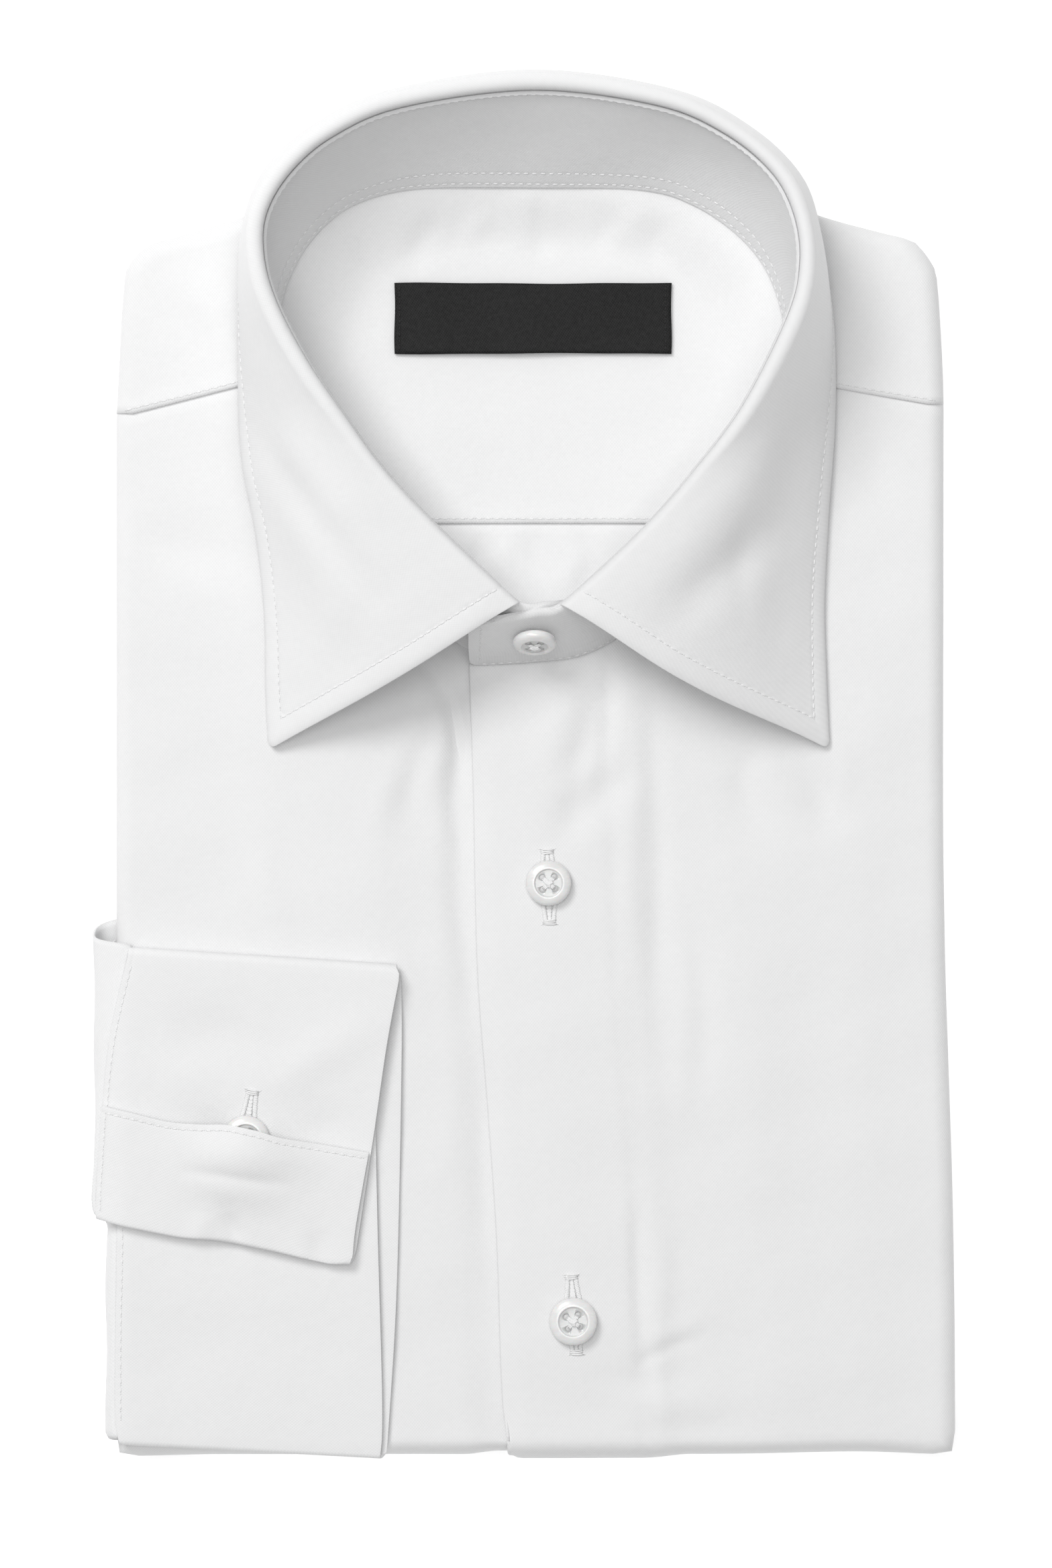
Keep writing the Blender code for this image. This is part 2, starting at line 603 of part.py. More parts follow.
def sleeve(look):
    """Two layers, joined at their lower fold, round the left side and in between the bundles."""
    y, shown = np.array(SLEEVE_LOOP, float).T
    centre_z = TOP - EDGE_HALF
    reach = blend(*SLEEVE_REACH, smooth((y + 119.0) / 8.0))
    seam_x, seam_z = cuff_left_edge(y)
    diagonal = SLEEVE_INNER * math.sqrt(0.5)
    level = np.ones_like(y)
    curl = SLEEVE_CURL * smooth((-160.0 - y) / 5.0)
    inner = ((FLAT_LEFT - CUFF_WALL - curl, centre_z + SLEEVE_INNER), (FLAT_LEFT - diagonal, centre_z + diagonal),
             (FLAT_LEFT - SLEEVE_INNER, centre_z), (FLAT_LEFT - diagonal, centre_z - diagonal),
             (FLAT_LEFT, centre_z - SLEEVE_INNER), (SLEEVE_END, centre_z - SLEEVE_INNER))
    low_z = centre_z - 6.9
    outer = ((seam_x - CUFF_WALL - 2 * GAP, seam_z - 0.3),
             (FLAT_LEFT - 0.88 * reach, blend(centre_z, seam_z, 0.45)),
             (FLAT_LEFT - reach, centre_z - 1.0), (FLAT_LEFT - 0.75 * reach, centre_z - 5.2),
             (FLAT_LEFT - 1.0, low_z), (SLEEVE_END, low_z))
    rows = []
    for tucked, (xi, zi), (xo, zo) in zip((0, 0, 0, 0, 1, 1), inner, outer):
        narrowed = y + tucked * SLEEVE_TAPER * smooth((-140.0 - y) / 25.0)
        rows.append(np.column_stack([blend(xi * level, xo, shown), narrowed, blend(zi * level, zo, shown)]))
    path = np.array(rows)
    fine = sections(path.reshape(len(path), -1), 12, measured=3, fine=8)
    return finish("sleeve", sheet(fine.reshape(len(fine), len(y), 3)), look, SLEEVE_WALL, side=0.0)


def core_rows(chain):
    """Profile of the hidden layers below their top: one fold of the upper bundle, the gap, two of
    the lower bundle, and the flat underside."""
    x, y = plan(chain)
    top = np.array([vert.co.z / MM for vert in chain]) + CORE_DOWN
    top = np.maximum(top, TOP - CORE_DOWN)
    half = edge_half(x, y)
    at_left = smooth((-80.0 - x) / 10.0)
    near_sleeve = at_left * smooth((y - SLEEVE_SPAN[0]) / 4.0) * smooth((SLEEVE_SPAN[1] - y) / 6.0)
    low_top = TOP - 2 * half - LAYER_STEP - SLEEVE_ROOM * near_sleeve
    groove = -GROOVE - (SLEEVE_GROOVE - GROOVE) * near_sleeve
    bulge = LOWER_BULGE * np.clip(low_top / 6.0, 0.05, 1.0)
    low = smooth((-150.0 - y) / 12.0)
    rows = []
    lobe = half - CORE_DOWN
    for angle in np.radians((36, 72, 108, 144, 180)):
        rows.append((CORE_REACH * math.sin(angle) * (1.0 - 0.25 * low), TOP - half + lobe * math.cos(angle)))
    under = TOP - half - lobe
    rows.append((groove, under - 0.05))
    rows.append((groove, low_top + 0.1))
    for folds_down in (0.0, 0.5):
        for part in (0.0, 0.25, 0.75):
            height = low_top * (1.0 - folds_down - 0.5 * part)
            rows.append((0.6 + bulge * math.sin(math.pi * part) - 2.2 * low, height))
    rows.append((0.6 - 2.2 * low, 0.0 * x))
    return np.array([np.column_stack(row) for row in rows])


def folded_layers(look):
    """The hidden back, sides, tails and other sleeve: one rounded solid, layered at its edges."""
    def left(y):
        return curve(LEFT_SIDE, y) + EDGE_REACH + CORE_SHOULDER * smooth((y - 100.0) / 14.0)

    def right(y):
        return curve(RIGHT_SIDE, y) - EDGE_REACH - CORE_SHOULDER * smooth((y - 100.0) / 14.0)

    def high(x):
        return curve(TOP_SIDE, x) - EDGE_REACH - CORE_CORNER * smooth((abs(x) - 76.0) / 16.0)

    def height(x, y):
        in_neck = smooth((1.2 - neck_ratio(x, y)) / 0.08)
        return skin(x, y) - CORE_DOWN - NECK_SPARE * in_neck

    columns, rows = 12, 18
    points = panel_grid(columns, rows, left, right, lower_edge, high, height)
    bm = sheet(points)
    verts = bm.verts[:]
    width = columns + 1
    chain = (verts[:width] + verts[2 * width - 1:rows * width:width]
             + verts[:rows * width - 1:-1] + verts[(rows - 1) * width:0:-width])
    for vert in chain:
        vert.co.z = (TOP - CORE_DOWN) * MM
    last = extrude_rows(bm, chain, core_rows(chain), closed=True)
    bmesh.ops.contextual_create(bm, geom=last)
    return finish("folded_layers", bm, look)


def button(name, size, look, place):
    """A four-hole shirt button with a raised rim, turned about its own axis."""
    bm = bmesh.new()
    radius = size / 2
    ring = [bm.verts.new(Vector((r * radius, 0.0, h * BUTTON_HEIGHT)) * MM) for r, h in BUTTON_PROFILE]
    edges = [bm.edges.new(pair) for pair in zip(ring, ring[1:])]
    bmesh.ops.spin(bm, geom=ring + edges, cent=(0, 0, 0), axis=(0, 0, 1), angle=2 * math.pi,
                   steps=BUTTON_SIDES, use_merge=True, use_duplicate=False)
    bmesh.ops.remove_doubles(bm, verts=bm.verts[:], dist=1e-6)
    bmesh.ops.transform(bm, matrix=place, verts=bm.verts[:])
    made = finish(name, bm, look)
    holes = bmesh.new()
    for x, y in ((1, 1), (1, -1), (-1, 1), (-1, -1)):
        spot = Matrix.Translation(Vector((x * HOLE_PLACE, y * HOLE_PLACE, BUTTON_HEIGHT / 2)) * MM)
        bmesh.ops.create_cone(holes, cap_ends=True, segments=HOLE_SIDES, radius1=HOLE_RADIUS * MM,
                              radius2=HOLE_RADIUS * MM, depth=3 * BUTTON_HEIGHT * MM, matrix=place @ spot)
    cutter = finish(name + "_holes", holes, look)
    cutter.hide_render = True
    cutter.display_type = "WIRE"
    cut = made.modifiers.new("Holes", "BOOLEAN")
    cut.operation = "DIFFERENCE"
    cut.object = cutter
    return made


def flat_place(x, y, z, turned):
    return Matrix.Translation(Vector((x, y, z)) * MM) @ Matrix.Rotation(math.radians(turned), 4, "Z")


def buttons(look):
    for name, x, y, size in FLAT_BUTTONS:
        height = float(skin(x, y)) + PLACKET_LIFT + 2 * GAP
        button(name, size, look, flat_place(x, y, height, 22.0))
    x, y = CUFF_BUTTON
    height = float(cuff_height(x, y, 2)) + CUFF_WALL / 2 + GAP
    button("cuff_button", CUFF_BUTTON_SIZE, look, flat_place(x, y, height, 10.0))
    seam, top = stand_faces(400)
    near = [k for k in range(len(seam)) if seam[k][1] < 40 and k > 200]
    k = min(near, key=lambda k: abs(seam[k][0] - COLLAR_BUTTON_X))
    up = Vector(top[k] - seam[k]).normalized()
    facing = Vector((0.0, -up.z, up.y)).normalized()
    spot = Vector(blend(seam[k], top[k], COLLAR_BUTTON_UP))
    spot += facing * (STAND_WALL + STAND_BOW + 1.5 * GAP)
    across = up.cross(facing).normalized()
    turn = Matrix((across, up, facing)).transposed().to_4x4()
    button("collar_button", COLLAR_BUTTON_SIZE, look, Matrix.Translation(spot * MM) @ turn)


def main():
    for old in list(bpy.data.objects):
        bpy.data.objects.remove(old)
    cloth = material("shirt cloth", WHITE, 0.85)
    pearl = material("button pearl", PEARL, 0.25)
    satin = material("label satin", BLACK, 0.6)
    folded_layers(cloth)
    front_right(cloth)
    front_left(cloth)
    yoke(cloth)
    back_panel(cloth)
    collar_stand(cloth)
    collar_leaf(cloth)
    neck_label(satin)
    sleeve(cloth)
    cuff(cloth)
    buttons(pearl)


main()
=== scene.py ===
"""A white dress shirt, folded flat with its collar standing and one cuff laid on its front.

Shapes are in millimetres: X across the shirt, Y from its lower fold to its collar, Z up from the
table. They repeat the forms of the solids at a finer grain and add the seams, creases and stitches.
The left of a name is the wearer's left, which lies at +X.
"""
import math

import bmesh
import bpy
import numpy as np
from mathutils import Matrix, Vector


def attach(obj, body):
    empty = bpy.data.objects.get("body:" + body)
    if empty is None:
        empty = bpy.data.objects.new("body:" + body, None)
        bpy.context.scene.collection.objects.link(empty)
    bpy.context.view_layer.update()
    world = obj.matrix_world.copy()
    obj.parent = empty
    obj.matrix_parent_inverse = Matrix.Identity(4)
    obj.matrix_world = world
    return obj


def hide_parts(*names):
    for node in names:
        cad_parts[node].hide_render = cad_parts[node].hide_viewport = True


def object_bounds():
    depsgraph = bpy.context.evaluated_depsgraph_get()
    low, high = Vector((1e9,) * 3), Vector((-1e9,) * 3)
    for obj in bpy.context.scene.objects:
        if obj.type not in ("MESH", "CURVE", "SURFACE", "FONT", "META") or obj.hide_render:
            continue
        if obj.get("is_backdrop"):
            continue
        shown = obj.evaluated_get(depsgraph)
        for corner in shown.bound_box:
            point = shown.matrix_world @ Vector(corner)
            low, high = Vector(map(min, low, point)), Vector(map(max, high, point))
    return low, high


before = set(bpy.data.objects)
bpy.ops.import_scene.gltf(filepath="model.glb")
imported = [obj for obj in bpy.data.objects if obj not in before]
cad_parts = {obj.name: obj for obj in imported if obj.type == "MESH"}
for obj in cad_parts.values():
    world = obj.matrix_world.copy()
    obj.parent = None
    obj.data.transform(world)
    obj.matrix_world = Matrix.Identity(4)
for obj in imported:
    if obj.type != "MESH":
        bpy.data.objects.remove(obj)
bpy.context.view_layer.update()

MM = 0.001

# The folded bundle
CENTRE = (-0.84, 0.09)    # the middle of the whole shirt, which goes to the origin
TO_ORIGIN = -Vector((*CENTRE, 0.0)) * MM
TOP = 20.0                # the fronts lie this high
GAP = 0.35                # between one piece and the next
EDGE_REACH = 4.2          # how far a folded edge bulges past the flat part
EDGE_HALF = 4.2           # half the height of the upper bundle's folded edge
FOLD_HALF = 9.0           # half the height of the lower fold, which takes the whole bundle
FOLD_CORNER = 22.0        # along the lower fold from its corner to its full height
EDGE_TURN = math.radians(165)
CORE_DOWN = 2.6           # hidden layers lie this far under the skin
CORE_REACH = 2.1
CORE_CORNER = 6.0         # the hidden layers keep away from the shoulders' corners, along the top
CORE_SHOULDER = 1.5       # and down the sides
CORNER_REACH = 1.15       # mitre of a folded corner

# The outline seen from above: (y, x) down both sides and (x, y) along the top and the lower fold
LEFT_SIDE = ((-172, -102.0), (84, -102.0), (98, -101.4), (118, -100.2), (128, -98.3), (136, -94.0))
RIGHT_SIDE = ((-172, 106.9), (-142, 106.8), (-109, 106.3), (-76, 105.3), (-43, 104.3), (-10, 103.9),
              (87, 104.0), (117, 102.7), (128, 100.6), (136, 96.0))
TOP_SIDE = ((-104, 126.5), (-98.3, 128.3), (-68.8, 137.2), (-45, 147.5), (-22, 152.0), (0, 153.5),
            (24, 152.0), (47, 147.5), (71.7, 137.3), (93.8, 131.3), (106, 127.5))
LOWER_FOLD = ((-106, -171.7), (38, -171.7), (83, -171.0), (108, -171.4))

# The fronts
FREE_EDGE = ((-172, -4.3), (-153, -5.7), (-120, -6.8), (-87, -9.0), (-48, -11.8), (-4, -12.8),
             (25, -13.8))
PLACKET = 34.0            # width of the placket
PLACKET_LIFT = 1.0        # the placket lies on the other front
UNDER_DIP = 0.9           # and presses it down
YOKE_SEAM_LEFT = ((-61.5, 96.9), (-97.8, 87.6))
YOKE_SEAM_RIGHT = ((63.6, 96.2), (99.8, 90.0))
NECK_EDGE_UNDER = ((-61.5, 96.4), (-60.0, 92.5), (-55.5, 82.5), (-47, 67.0), (-37, 52.5), (-26, 39.5),
                   (-15, 30.0), (-6, 27.9), (6, 28.6), (13, 30.1), (26, 35.0))
NECK_EDGE_OVER = ((-14, 25.6), (-4, 25.8), (4, 26.4), (13, 27.6), (22.5, 31.6), (34, 42.8),
                  (45.5, 56.8), (56, 72.8), (61.5, 88.0), (63.6, 95.9))

# Soft folds pressed in the fronts: start x, start y, end x, end y, width, depth
SOFT_FOLDS = (
    (-23, 20, -15, -16, 6, 0.8),
    (-34, 6, -19, -26, 6, 0.6),
    (24, 18, 26, -36, 6, 0.7),
    (34, -4, 37, -72, 7, 0.5),
    (52, 6, 57, -22, 6, 0.6),
    (72, 0, 79, -18, 7, 0.6),
    (12, -160, 40, -150, 6, 0.7),
    (-17, -34, -12, -112, 6, 0.4),
    (-96, 62, -72, 50, 8, 0.6),
    (-76, -4, -69, -36, 8, 0.5),
    (80, 60, 92, 20, 8, 0.4),
    (64, -60, 70, -128, 9, 0.4),
)

# The hollow of the neck
NECK_CENTRE = (1.0, 88.0)
NECK_DEPTH = 4.0
NECK_SLOPE = 0.28         # share of the neck's radius that slopes down
NECK_SPARE = 1.4          # more room under the cloth of the hollow
BACK_SEAM_Y = 60.5
YOKE_WIDTH = (-40.0, 47.0)
BACK_TOP_WIDTH = (-38.0, 45.0)
BACK_LOW_WIDTH = (-20.0, 26.0)
BACK_LOW_Y = 33.0

# The collar stand's inner face, from its hidden end under the button, round the wearer's right, the
# back and the left, to the end that shows: seam x, seam y, seam z, top x, top y, top z (z over TOP)
STAND = (
    (13.0, 30.6, 0.0, 10.0, 40.9, 18.5),
    (6.0, 29.1, 0.0, 5.6, 40.2, 22.6),
    (-4.0, 28.3, 0.1, -1.5, 40.0, 24.5),
    (-15.0, 30.5, 0.3, -10.3, 47.9, 26.0),
    (-26.0, 40.0, 0.3, -22.8, 59.8, 27.5),
    (-37.0, 53.0, 0.3, -34.7, 72.5, 29.0),
    (-47.0, 67.5, 0.3, -44.4, 85.8, 30.5),
    (-55.5, 83.0, 0.3, -52.9, 98.2, 31.5),
    (-60.5, 98.5, 0.3, -60.3, 112.1, 32.0),
    (-61.0, 113.0, 0.5, -63.6, 123.2, 32.0),
    (-56.6, 125.4, 0.6, -63.3, 133.9, 31.5),
    (-49.8, 134.2, 0.8, -57.5, 144.3, 30.5),
    (-41.0, 140.0, 0.9, -47.0, 153.4, 29.5),
    (-26.3, 143.3, 1.1, -30.0, 160.6, 29.0),
    (1.0, 143.6, 1.2, 2.0, 164.8, 28.5),
    (28.5, 143.0, 1.1, 32.0, 161.0, 29.0),
    (41.3, 139.4, 0.9, 48.5, 154.0, 29.5),
    (52.5, 131.8, 0.8, 60.0, 144.3, 30.5),
    (59.8, 122.5, 0.6, 65.4, 133.6, 31.5),
    (63.8, 110.0, 0.5, 66.6, 122.0, 32.0),
    (63.4, 96.5, 0.3, 63.6, 109.4, 32.0),
    (57.0, 76.0, 0.3, 52.6, 87.5, 30.5),
    (46.2, 59.5, 0.3, 40.6, 71.6, 29.0),
    (34.5, 44.8, 0.3, 29.8, 59.3, 27.5),
    (23.0, 33.4, 0.6, 18.0, 48.0, 26.0),
    (13.0, 28.3, 1.1, 8.3, 39.5, 25.0),
    (4.0, 27.1, 1.1, 3.0, 38.4, 24.3),
    (-4.0, 26.5, 1.1, -4.0, 37.2, 23.2),
    (-10.0, 26.2, 1.1, -9.5, 36.4, 22.6),
    (-13.9, 26.2, 1.2, -14.2, 34.6, 20.0),
)
STAND_WALL = 1.3
SEAM_UP = 0.2             # the stand's foot is this much clear of the cloth
STAND_BOW = 0.8
LEAF_FIRST, LEAF_LAST = 2, 26   # rows of STAND between which the leaf is sewn on
YOKE_FIRST, YOKE_LAST = 8, 21   # and those that the yoke is sewn to

# The collar leaf's free edge, one row for each of those rows: x, y, z over TOP
LEAF_EDGE = (
    (-64.2, 3.8, 1.7),
    (-64.9, 17.5, 1.7),
    (-65.2, 36.0, 1.7),
    (-67.4, 57.0, 1.7),
    (-70.6, 74.5, 1.7),
    (-71.7, 91.0, 1.7),
    (-71.4, 108.0, 1.7),
    (-70.4, 121.0, 1.7),
    (-68.0, 133.8, 1.5),
    (-64.6, 146.6, -4.0),
    (-54.4, 157.2, -9.0),
    (-34.0, 166.6, -12.0),
    (2.0, 171.2, -13.0),
    (37.0, 167.0, -12.0),
    (56.8, 157.6, -9.0),
    (68.0, 145.6, -4.0),
    (71.6, 132.2, 1.5),
    (75.0, 118.0, 1.7),
    (76.8, 103.0, 1.7),
    (76.9, 83.0, 1.7),
    (75.4, 60.0, 1.7),
    (74.4, 40.0, 1.7),
    (75.0, 19.0, 1.7),
    (75.7, 3.9, 1.7),
)
LEAF_START = 1.6          # the leaf is sewn on this far over the stand
LEAF_ROLL = 2.2           # radius of the leaf's fold
LEAF_BOW = 1.7
LEAF_SOFT = 3.4           # the fold is a softer roll by this much towards the points

# The label: two ends and two long edges
LABEL_X = (-32.7, 36.2)
LABEL_Y = (102.7, 120.2)

# The cuff is one ribbon. Its four runs in order: layer, then the left and the right end of the
# lines that the run passes
CUFF_WALL = 1.0
CUFF_LAYER = 1.75         # from the middle of one layer to the middle of the next
CUFF_RUNS = (
    (1, ((-100.5, -76.0), (-37.6, -76.0)), ((-101.3, -115.5), (-36.8, -114.8)),
     ((-101.8, -158.0), (-35.7, -155.0)), ((-101.0, -167.0), (-35.8, -170.6))),
    (0, ((-97.8, -167.2), (-34.5, -170.2)), ((-97.7, -120.0), (-32.1, -129.7)),
     ((-97.6, -80.0), (-30.9, -73.7)), ((-97.6, -47.2), (-31.0, -51.3))),
    (2, ((-98.6, -46.9), (-31.2, -51.4)), ((-103.0, -67.5), (-34.4, -68.5)),
     ((-105.2, -90.0), (-37.6, -90.5)), ((-106.4, -111.0), (-42.4, -122.0))),
    (3, ((-106.4, -111.0), (-43.0, -122.0)), ((-106.2, -104.0), (-42.3, -115.0)),
     ((-105.6, -94.0), (-40.6, -105.0)), ((-104.9, -85.6), (-38.9, -95.6))),
)
CUFF_GRID = (64, 34, 10)  # columns, and rows in each run and in each turn
# Left end and width of the lines of the turned-up band, then y at that end and its change to the
# right, for its fold and for its free edge
BAND_SPAN = (-106.4, 64.0)
BAND_FOLD = (-111.0, -11.0)
BAND_RIM = (-85.6, -10.0)
CUFF_DRAPE = 0.045        # how the cuff sinks past the flat part of the fronts
FLAT_LEFT = -97.8
CUFF_BUTTON = (-69.3, -92.2)
BAND_LIFT = 4.4           # the turned-up band passes over the cuff's button
BAND_LIFT_WIDTH = 14.0

# The sleeve goes round the left side into the gap between the bundles:
# y, then 1 on the layer that shows and 0 on the one against the body
SLEEVE_LOOP = ((-43.6, 1), (-58, 1), (-76, 1), (-96, 1), (-110.2, 1), (-113.8, 1), (-120, 1),
               (-136, 1), (-152, 1), (-162, 1), (-166.2, 1), (-167.1, 0.5), (-166.2, 0), (-161, 0),
               (-145, 0), (-120, 0), (-95, 0), (-70, 0), (-50, 0), (-38, 0))
SLEEVE_INNER = 5.1        # radius of the layer against the body
SLEEVE_REACH = (6.5, 9.4)  # of the layer that shows, below and above the band's fold
SLEEVE_SPAN = (-176.0, -22.0)
SLEEVE_END = -91.0
SLEEVE_TAPER = 5.0        # the tucked end is narrower by this at the lower fold
SLEEVE_CURL = 1.6         # the lower fold keeps this much further off the cuff
SLEEVE_ROOM = 3.1
GROOVE = 3.0
SLEEVE_GROOVE = 8.6
LOWER_BULGE = 2.2
LAYER_STEP = 1.2          # from the upper bundle down to the lower one, past the fold

# Buttons
BUTTON_HEIGHT = 2.6
# Name, x, y, diameter and turn in degrees of the two on the placket
FLAT_BUTTONS = (("front_button_1", 5.6, -29.0, 11.2, 3), ("front_button_2", 11.7, -137.7, 11.8, 10))
# The buttonholes on the placket, from their lower to their upper end
FRONT_HOLES = (((5.9, -39.5), (5.2, -20.4)), ((12.6, -146.3), (11.2, -126.0)))
CUFF_HOLE = ((-69.6, -92.0), (-67.7, -80.0))
CUFF_BUTTON_SIZE = 11.5
CUFF_BUTTON_TURN = 10
COLLAR_BUTTON_SIZE = 10.8
COLLAR_BUTTON_X = 2.4
COLLAR_BUTTON_UP = 0.6    # share of the stand's height
HOLE_RADIUS = 0.8
HOLE_PLACE = 1.45         # from the middle, along both of the button's own axes
PEARL_SUNK = 0.87         # height of the sunk disc, as a share of the button's
# A button's section as shares of its radius and height: its back, rim and sunk disc
PEARL_PROFILE = ((0.0, 0.06), (0.60, 0.0), (0.84, 0.03), (0.95, 0.12), (0.99, 0.28), (1.0, 0.46),
                 (0.992, 0.60), (0.97, 0.70), (0.93, 0.79), (0.87, 0.87), (0.80, 0.93), (0.73, 0.975),
                 (0.67, 1.0), (0.64, 0.995), (0.625, 0.97), (0.612, 0.92), (0.60, 0.88),
                 (0.57, PEARL_SUNK), (0.30, PEARL_SUNK), (0.0, PEARL_SUNK))

# Creases that are finer than the solids carry: start x, start y, end x, end y, width, depth.
# A depth under 0 is a ridge.
FINE_CREASES = (
    (-15.5, 22, -17, -8, 2.5, 0.85),
    (-19.5, 20, -24, -6, 3.0, -0.66),
    (-25.5, 17, -29, -14, 3.4, 0.76),
    (-31, 12, -37, -20, 4.0, -0.57),
    (-16, -14, -14.5, -60, 2.8, 0.57),
    (-20, -40, -17.5, -96, 4.0, -0.42),
    (-11.5, -60, -8.5, -130, 2.5, 0.48),
    (19.5, 27, 20.2, -14, 2.3, 0.76),
    (26, 22, 27.5, -50, 3.0, -0.66),
    (31, 14, 33, -66, 2.8, 0.61),
    (37.5, -30, 39.5, -88, 3.0, -0.42),
    (43, -42, 44.5, -84, 3.0, 0.37),
    (52, 3, 58, -14, 3.0, 0.54),
    (60, 5, 66, -12, 3.4, -0.51),
    (68, 4, 75, -16, 3.2, 0.58),
    (76, 8, 82, -10, 3.4, -0.37),
    (27, -148.5, 43, -141.5, 1.8, 0.75),
    (30, -144, 44, -137, 2.8, -0.45),
    (14, -156, 44, -158, 3.7, -0.48),
    (22, -166, 60, -163, 3.4, 0.44),
    (28.5, -108, 30.6, -168, 1.8, 0.71),
    (32.5, -112, 34, -168, 2.8, -0.44),
    (-96, 58, -78, 50, 4.6, 0.45),
    (-92, 46, -70, 43, 5.8, -0.38),
    (-66, -18, -62, -40, 4.0, -0.49),
    (84, 82, 92, 60, 4.6, 0.39),
    (-90, 118, -80, 100, 4.6, 0.45),
    (-84, 124, -76, 108, 4.6, -0.38),
    (86, 122, 94, 100, 4.6, 0.39),
    (-24, 138, -27, 124, 3.0, 0.70),
    (-12, 140, -13, 128, 2.8, -0.52),
    (4, 141, 3, 126, 3.0, 0.70),
    (18, 140, 19, 129, 2.8, 0.56),
    (34, 136, 33, 124, 3.0, 0.68),
    (27, 139, 27, 128, 2.8, -0.48),
    (-41, 132, -38, 120, 3.0, 0.56),
    (-12, 60, -13, 44, 2.3, 0.68),
    (-4, 60, -4, 42, 2.3, -0.56),
    (3, 60, 4, 41, 2.3, 0.68),
    (11, 60, 10, 43, 2.3, -0.52),
    (17, 60, 15, 47, 2.3, 0.60),
    (-26, 29, -15, 4, 3.0, 2.00),
    (-17, 10, -17, -22, 2.2, 0.90),
    (28, -1, 7, -17, 4.5, 1.00),
    (24, 6, 3, -10, 4.0, -0.50),
    (-30, 22, -22, -2, 3.0, -0.70),
    (22, 26, 8, -17, 4.0, 0.95),
    (12, 22, 1, -8, 5.0, -0.55),
    (24.0, -18, 29.0, -165, 2.2, 0.34),
    (-13, 18, -17, -34, 4.0, 0.60),
    (-34, 2, -40, -44, 8.0, -0.45),
    (-27, -30, -22, -90, 7.0, 0.45),
    (-18, -100, -12, -160, 6.0, 0.45),
    (46, -20, 58, -90, 10.0, -0.45),
    (70, -30, 78, -110, 9.0, 0.45),
    (60, -120, 50, -165, 8.0, 0.40),
    (-80, 30, -70, -14, 9.0, 0.45),
    (88, 40, 86, -20, 7.0, -0.40),
)
# 1 at the places across the sleeve that are tucked between the bundles
SLEEVE_TUCKED = (0, 0, 0, 0, 0, 1, 1)
# How far its open end is drawn up the shirt at those places, against the body and outside
SLEEVE_RISE = ((-8.0, -7.5, -7.0, -6.0, -5.0, -4.0, -4.0), (-0.9, -0.4, 0.8, 2.8, 4.6, 6.1, 6.1))
SHELL = 0.7               # thickness of the cloth's shell
BAND_WALL, FALL_WALL, RIBBON_WALL, STRIP_WALL, LABEL_WALL = 1.2, 1.15, 0.95, 0.6, 0.5
BAND_SOFT, EDGE_SOFT = 0.4, 0.42   # how far the edges of the thicker walls are rounded
TIP_ROUND = 2.8           # radius of the collar's points
BAND_ROUND = 2.2          # of the stand's end
HEM_ROUND = 2.6           # and of the placket's lower corner
LOWEST = -172.6           # y of the lower fold's outermost line there
FRONT_BOW = (1.0, 2.4)    # how far the fall's front edges bow out, on the left and the right as seen
FALL_SEAM, FRONT_SEAM = 5.1, 5.8   # from the fall's free edge and its front edges to its stitches
CUFF_SEAM, RIM_SEAM = 1.4, 1.5
TURNED = 1.9              # a seam's edge covers the cloth under it by this much
THREAD = 0.42             # width of a stitch
STITCH = 1.5              # its length
PITCH = 2.1               # from one stitch to the next

# Length, width and height of a needle hole, a small grey bar of painted shade, and the height of the
# thread
NEEDLE_HOLE_SHADE = (0.38, 0.30, 0.10)
THREAD_TALL = 0.28
BATCH = 30                # stitches made at a time
UNSEWN = 90.0             # a reach that is far from any seam

# Colours and the sizes of the weave
CLOTH = (0.825, 0.825, 0.826)
# The cloth's darker tone: painted shade between the weave's threads, and random slub tone
CLOTH_SHADE_AND_SLUB = (0.745, 0.746, 0.750)
THREAD_WHITE = (0.86, 0.86, 0.86)
COTTON_PITCH = (0.69, 0.84)
SATIN_PITCH = (0.66, 0.80)
PUCKER_PITCH = 5.3        # of the small waves along a seam

# The camera looks straight down. Its picture is as long as the photograph's 2337 pixels, at 6 of
# them to a millimetre, where the fronts lie.
SENSOR = 36.0
CAMERA_AT = (0.0, -4.417, 1620.0)
VIEW_DOWN = 1600.0        # from the camera to the fronts
VIEW_LONG = 389.5

# Lamps: name, place and side in metres, watts
LAMPS = (("key", (-0.66, 0.84, 1.42), 0.65, 14.6), ("overhead", (-0.1, 0.1, 2.3), 1.2, 18.6))
ROOM_LIGHT = 0.37
TABLE_WHITE = (0.80, 0.80, 0.80)
TABLE_GLOW = 0.50
TABLE_HALF = 3.0          # metres
TABLE_CLEAR = 0.0002      # metres that it lies under the shirt

# Soft hollows in the collar's fall, written like the creases
FALL_HOLLOWS = (
    (-62, 112, -30, 50, 8.0, 1.30),
    (-52, 60, -40, 26, 7.0, -0.60),
    (-66, 84, -60, 40, 5.0, 0.60),
    (-46, 84, -28, 56, 4.5, -0.60),
    (74, 94, 58, 53, 7.0, 2.00),
    (63, 60, 35, 36, 5.5, 2.00),
    (54, 58, 53, 37, 3.5, 0.80),
    (-69, 82, -38, 43, 4.2, 1.50),
    (-70, 98, -60, 74, 6.0, 1.00),
    (-60, 66, -42, 48, 6.0, -0.40),
    (56, 74, 30, 46, 5.0, -0.80),
    (70, 78, 64, 36, 5.5, 0.80),
    (58, 52, 66, 20, 6.0, 0.50),
    (-30, 50, -52, 16, 5.0, 0.45),
)

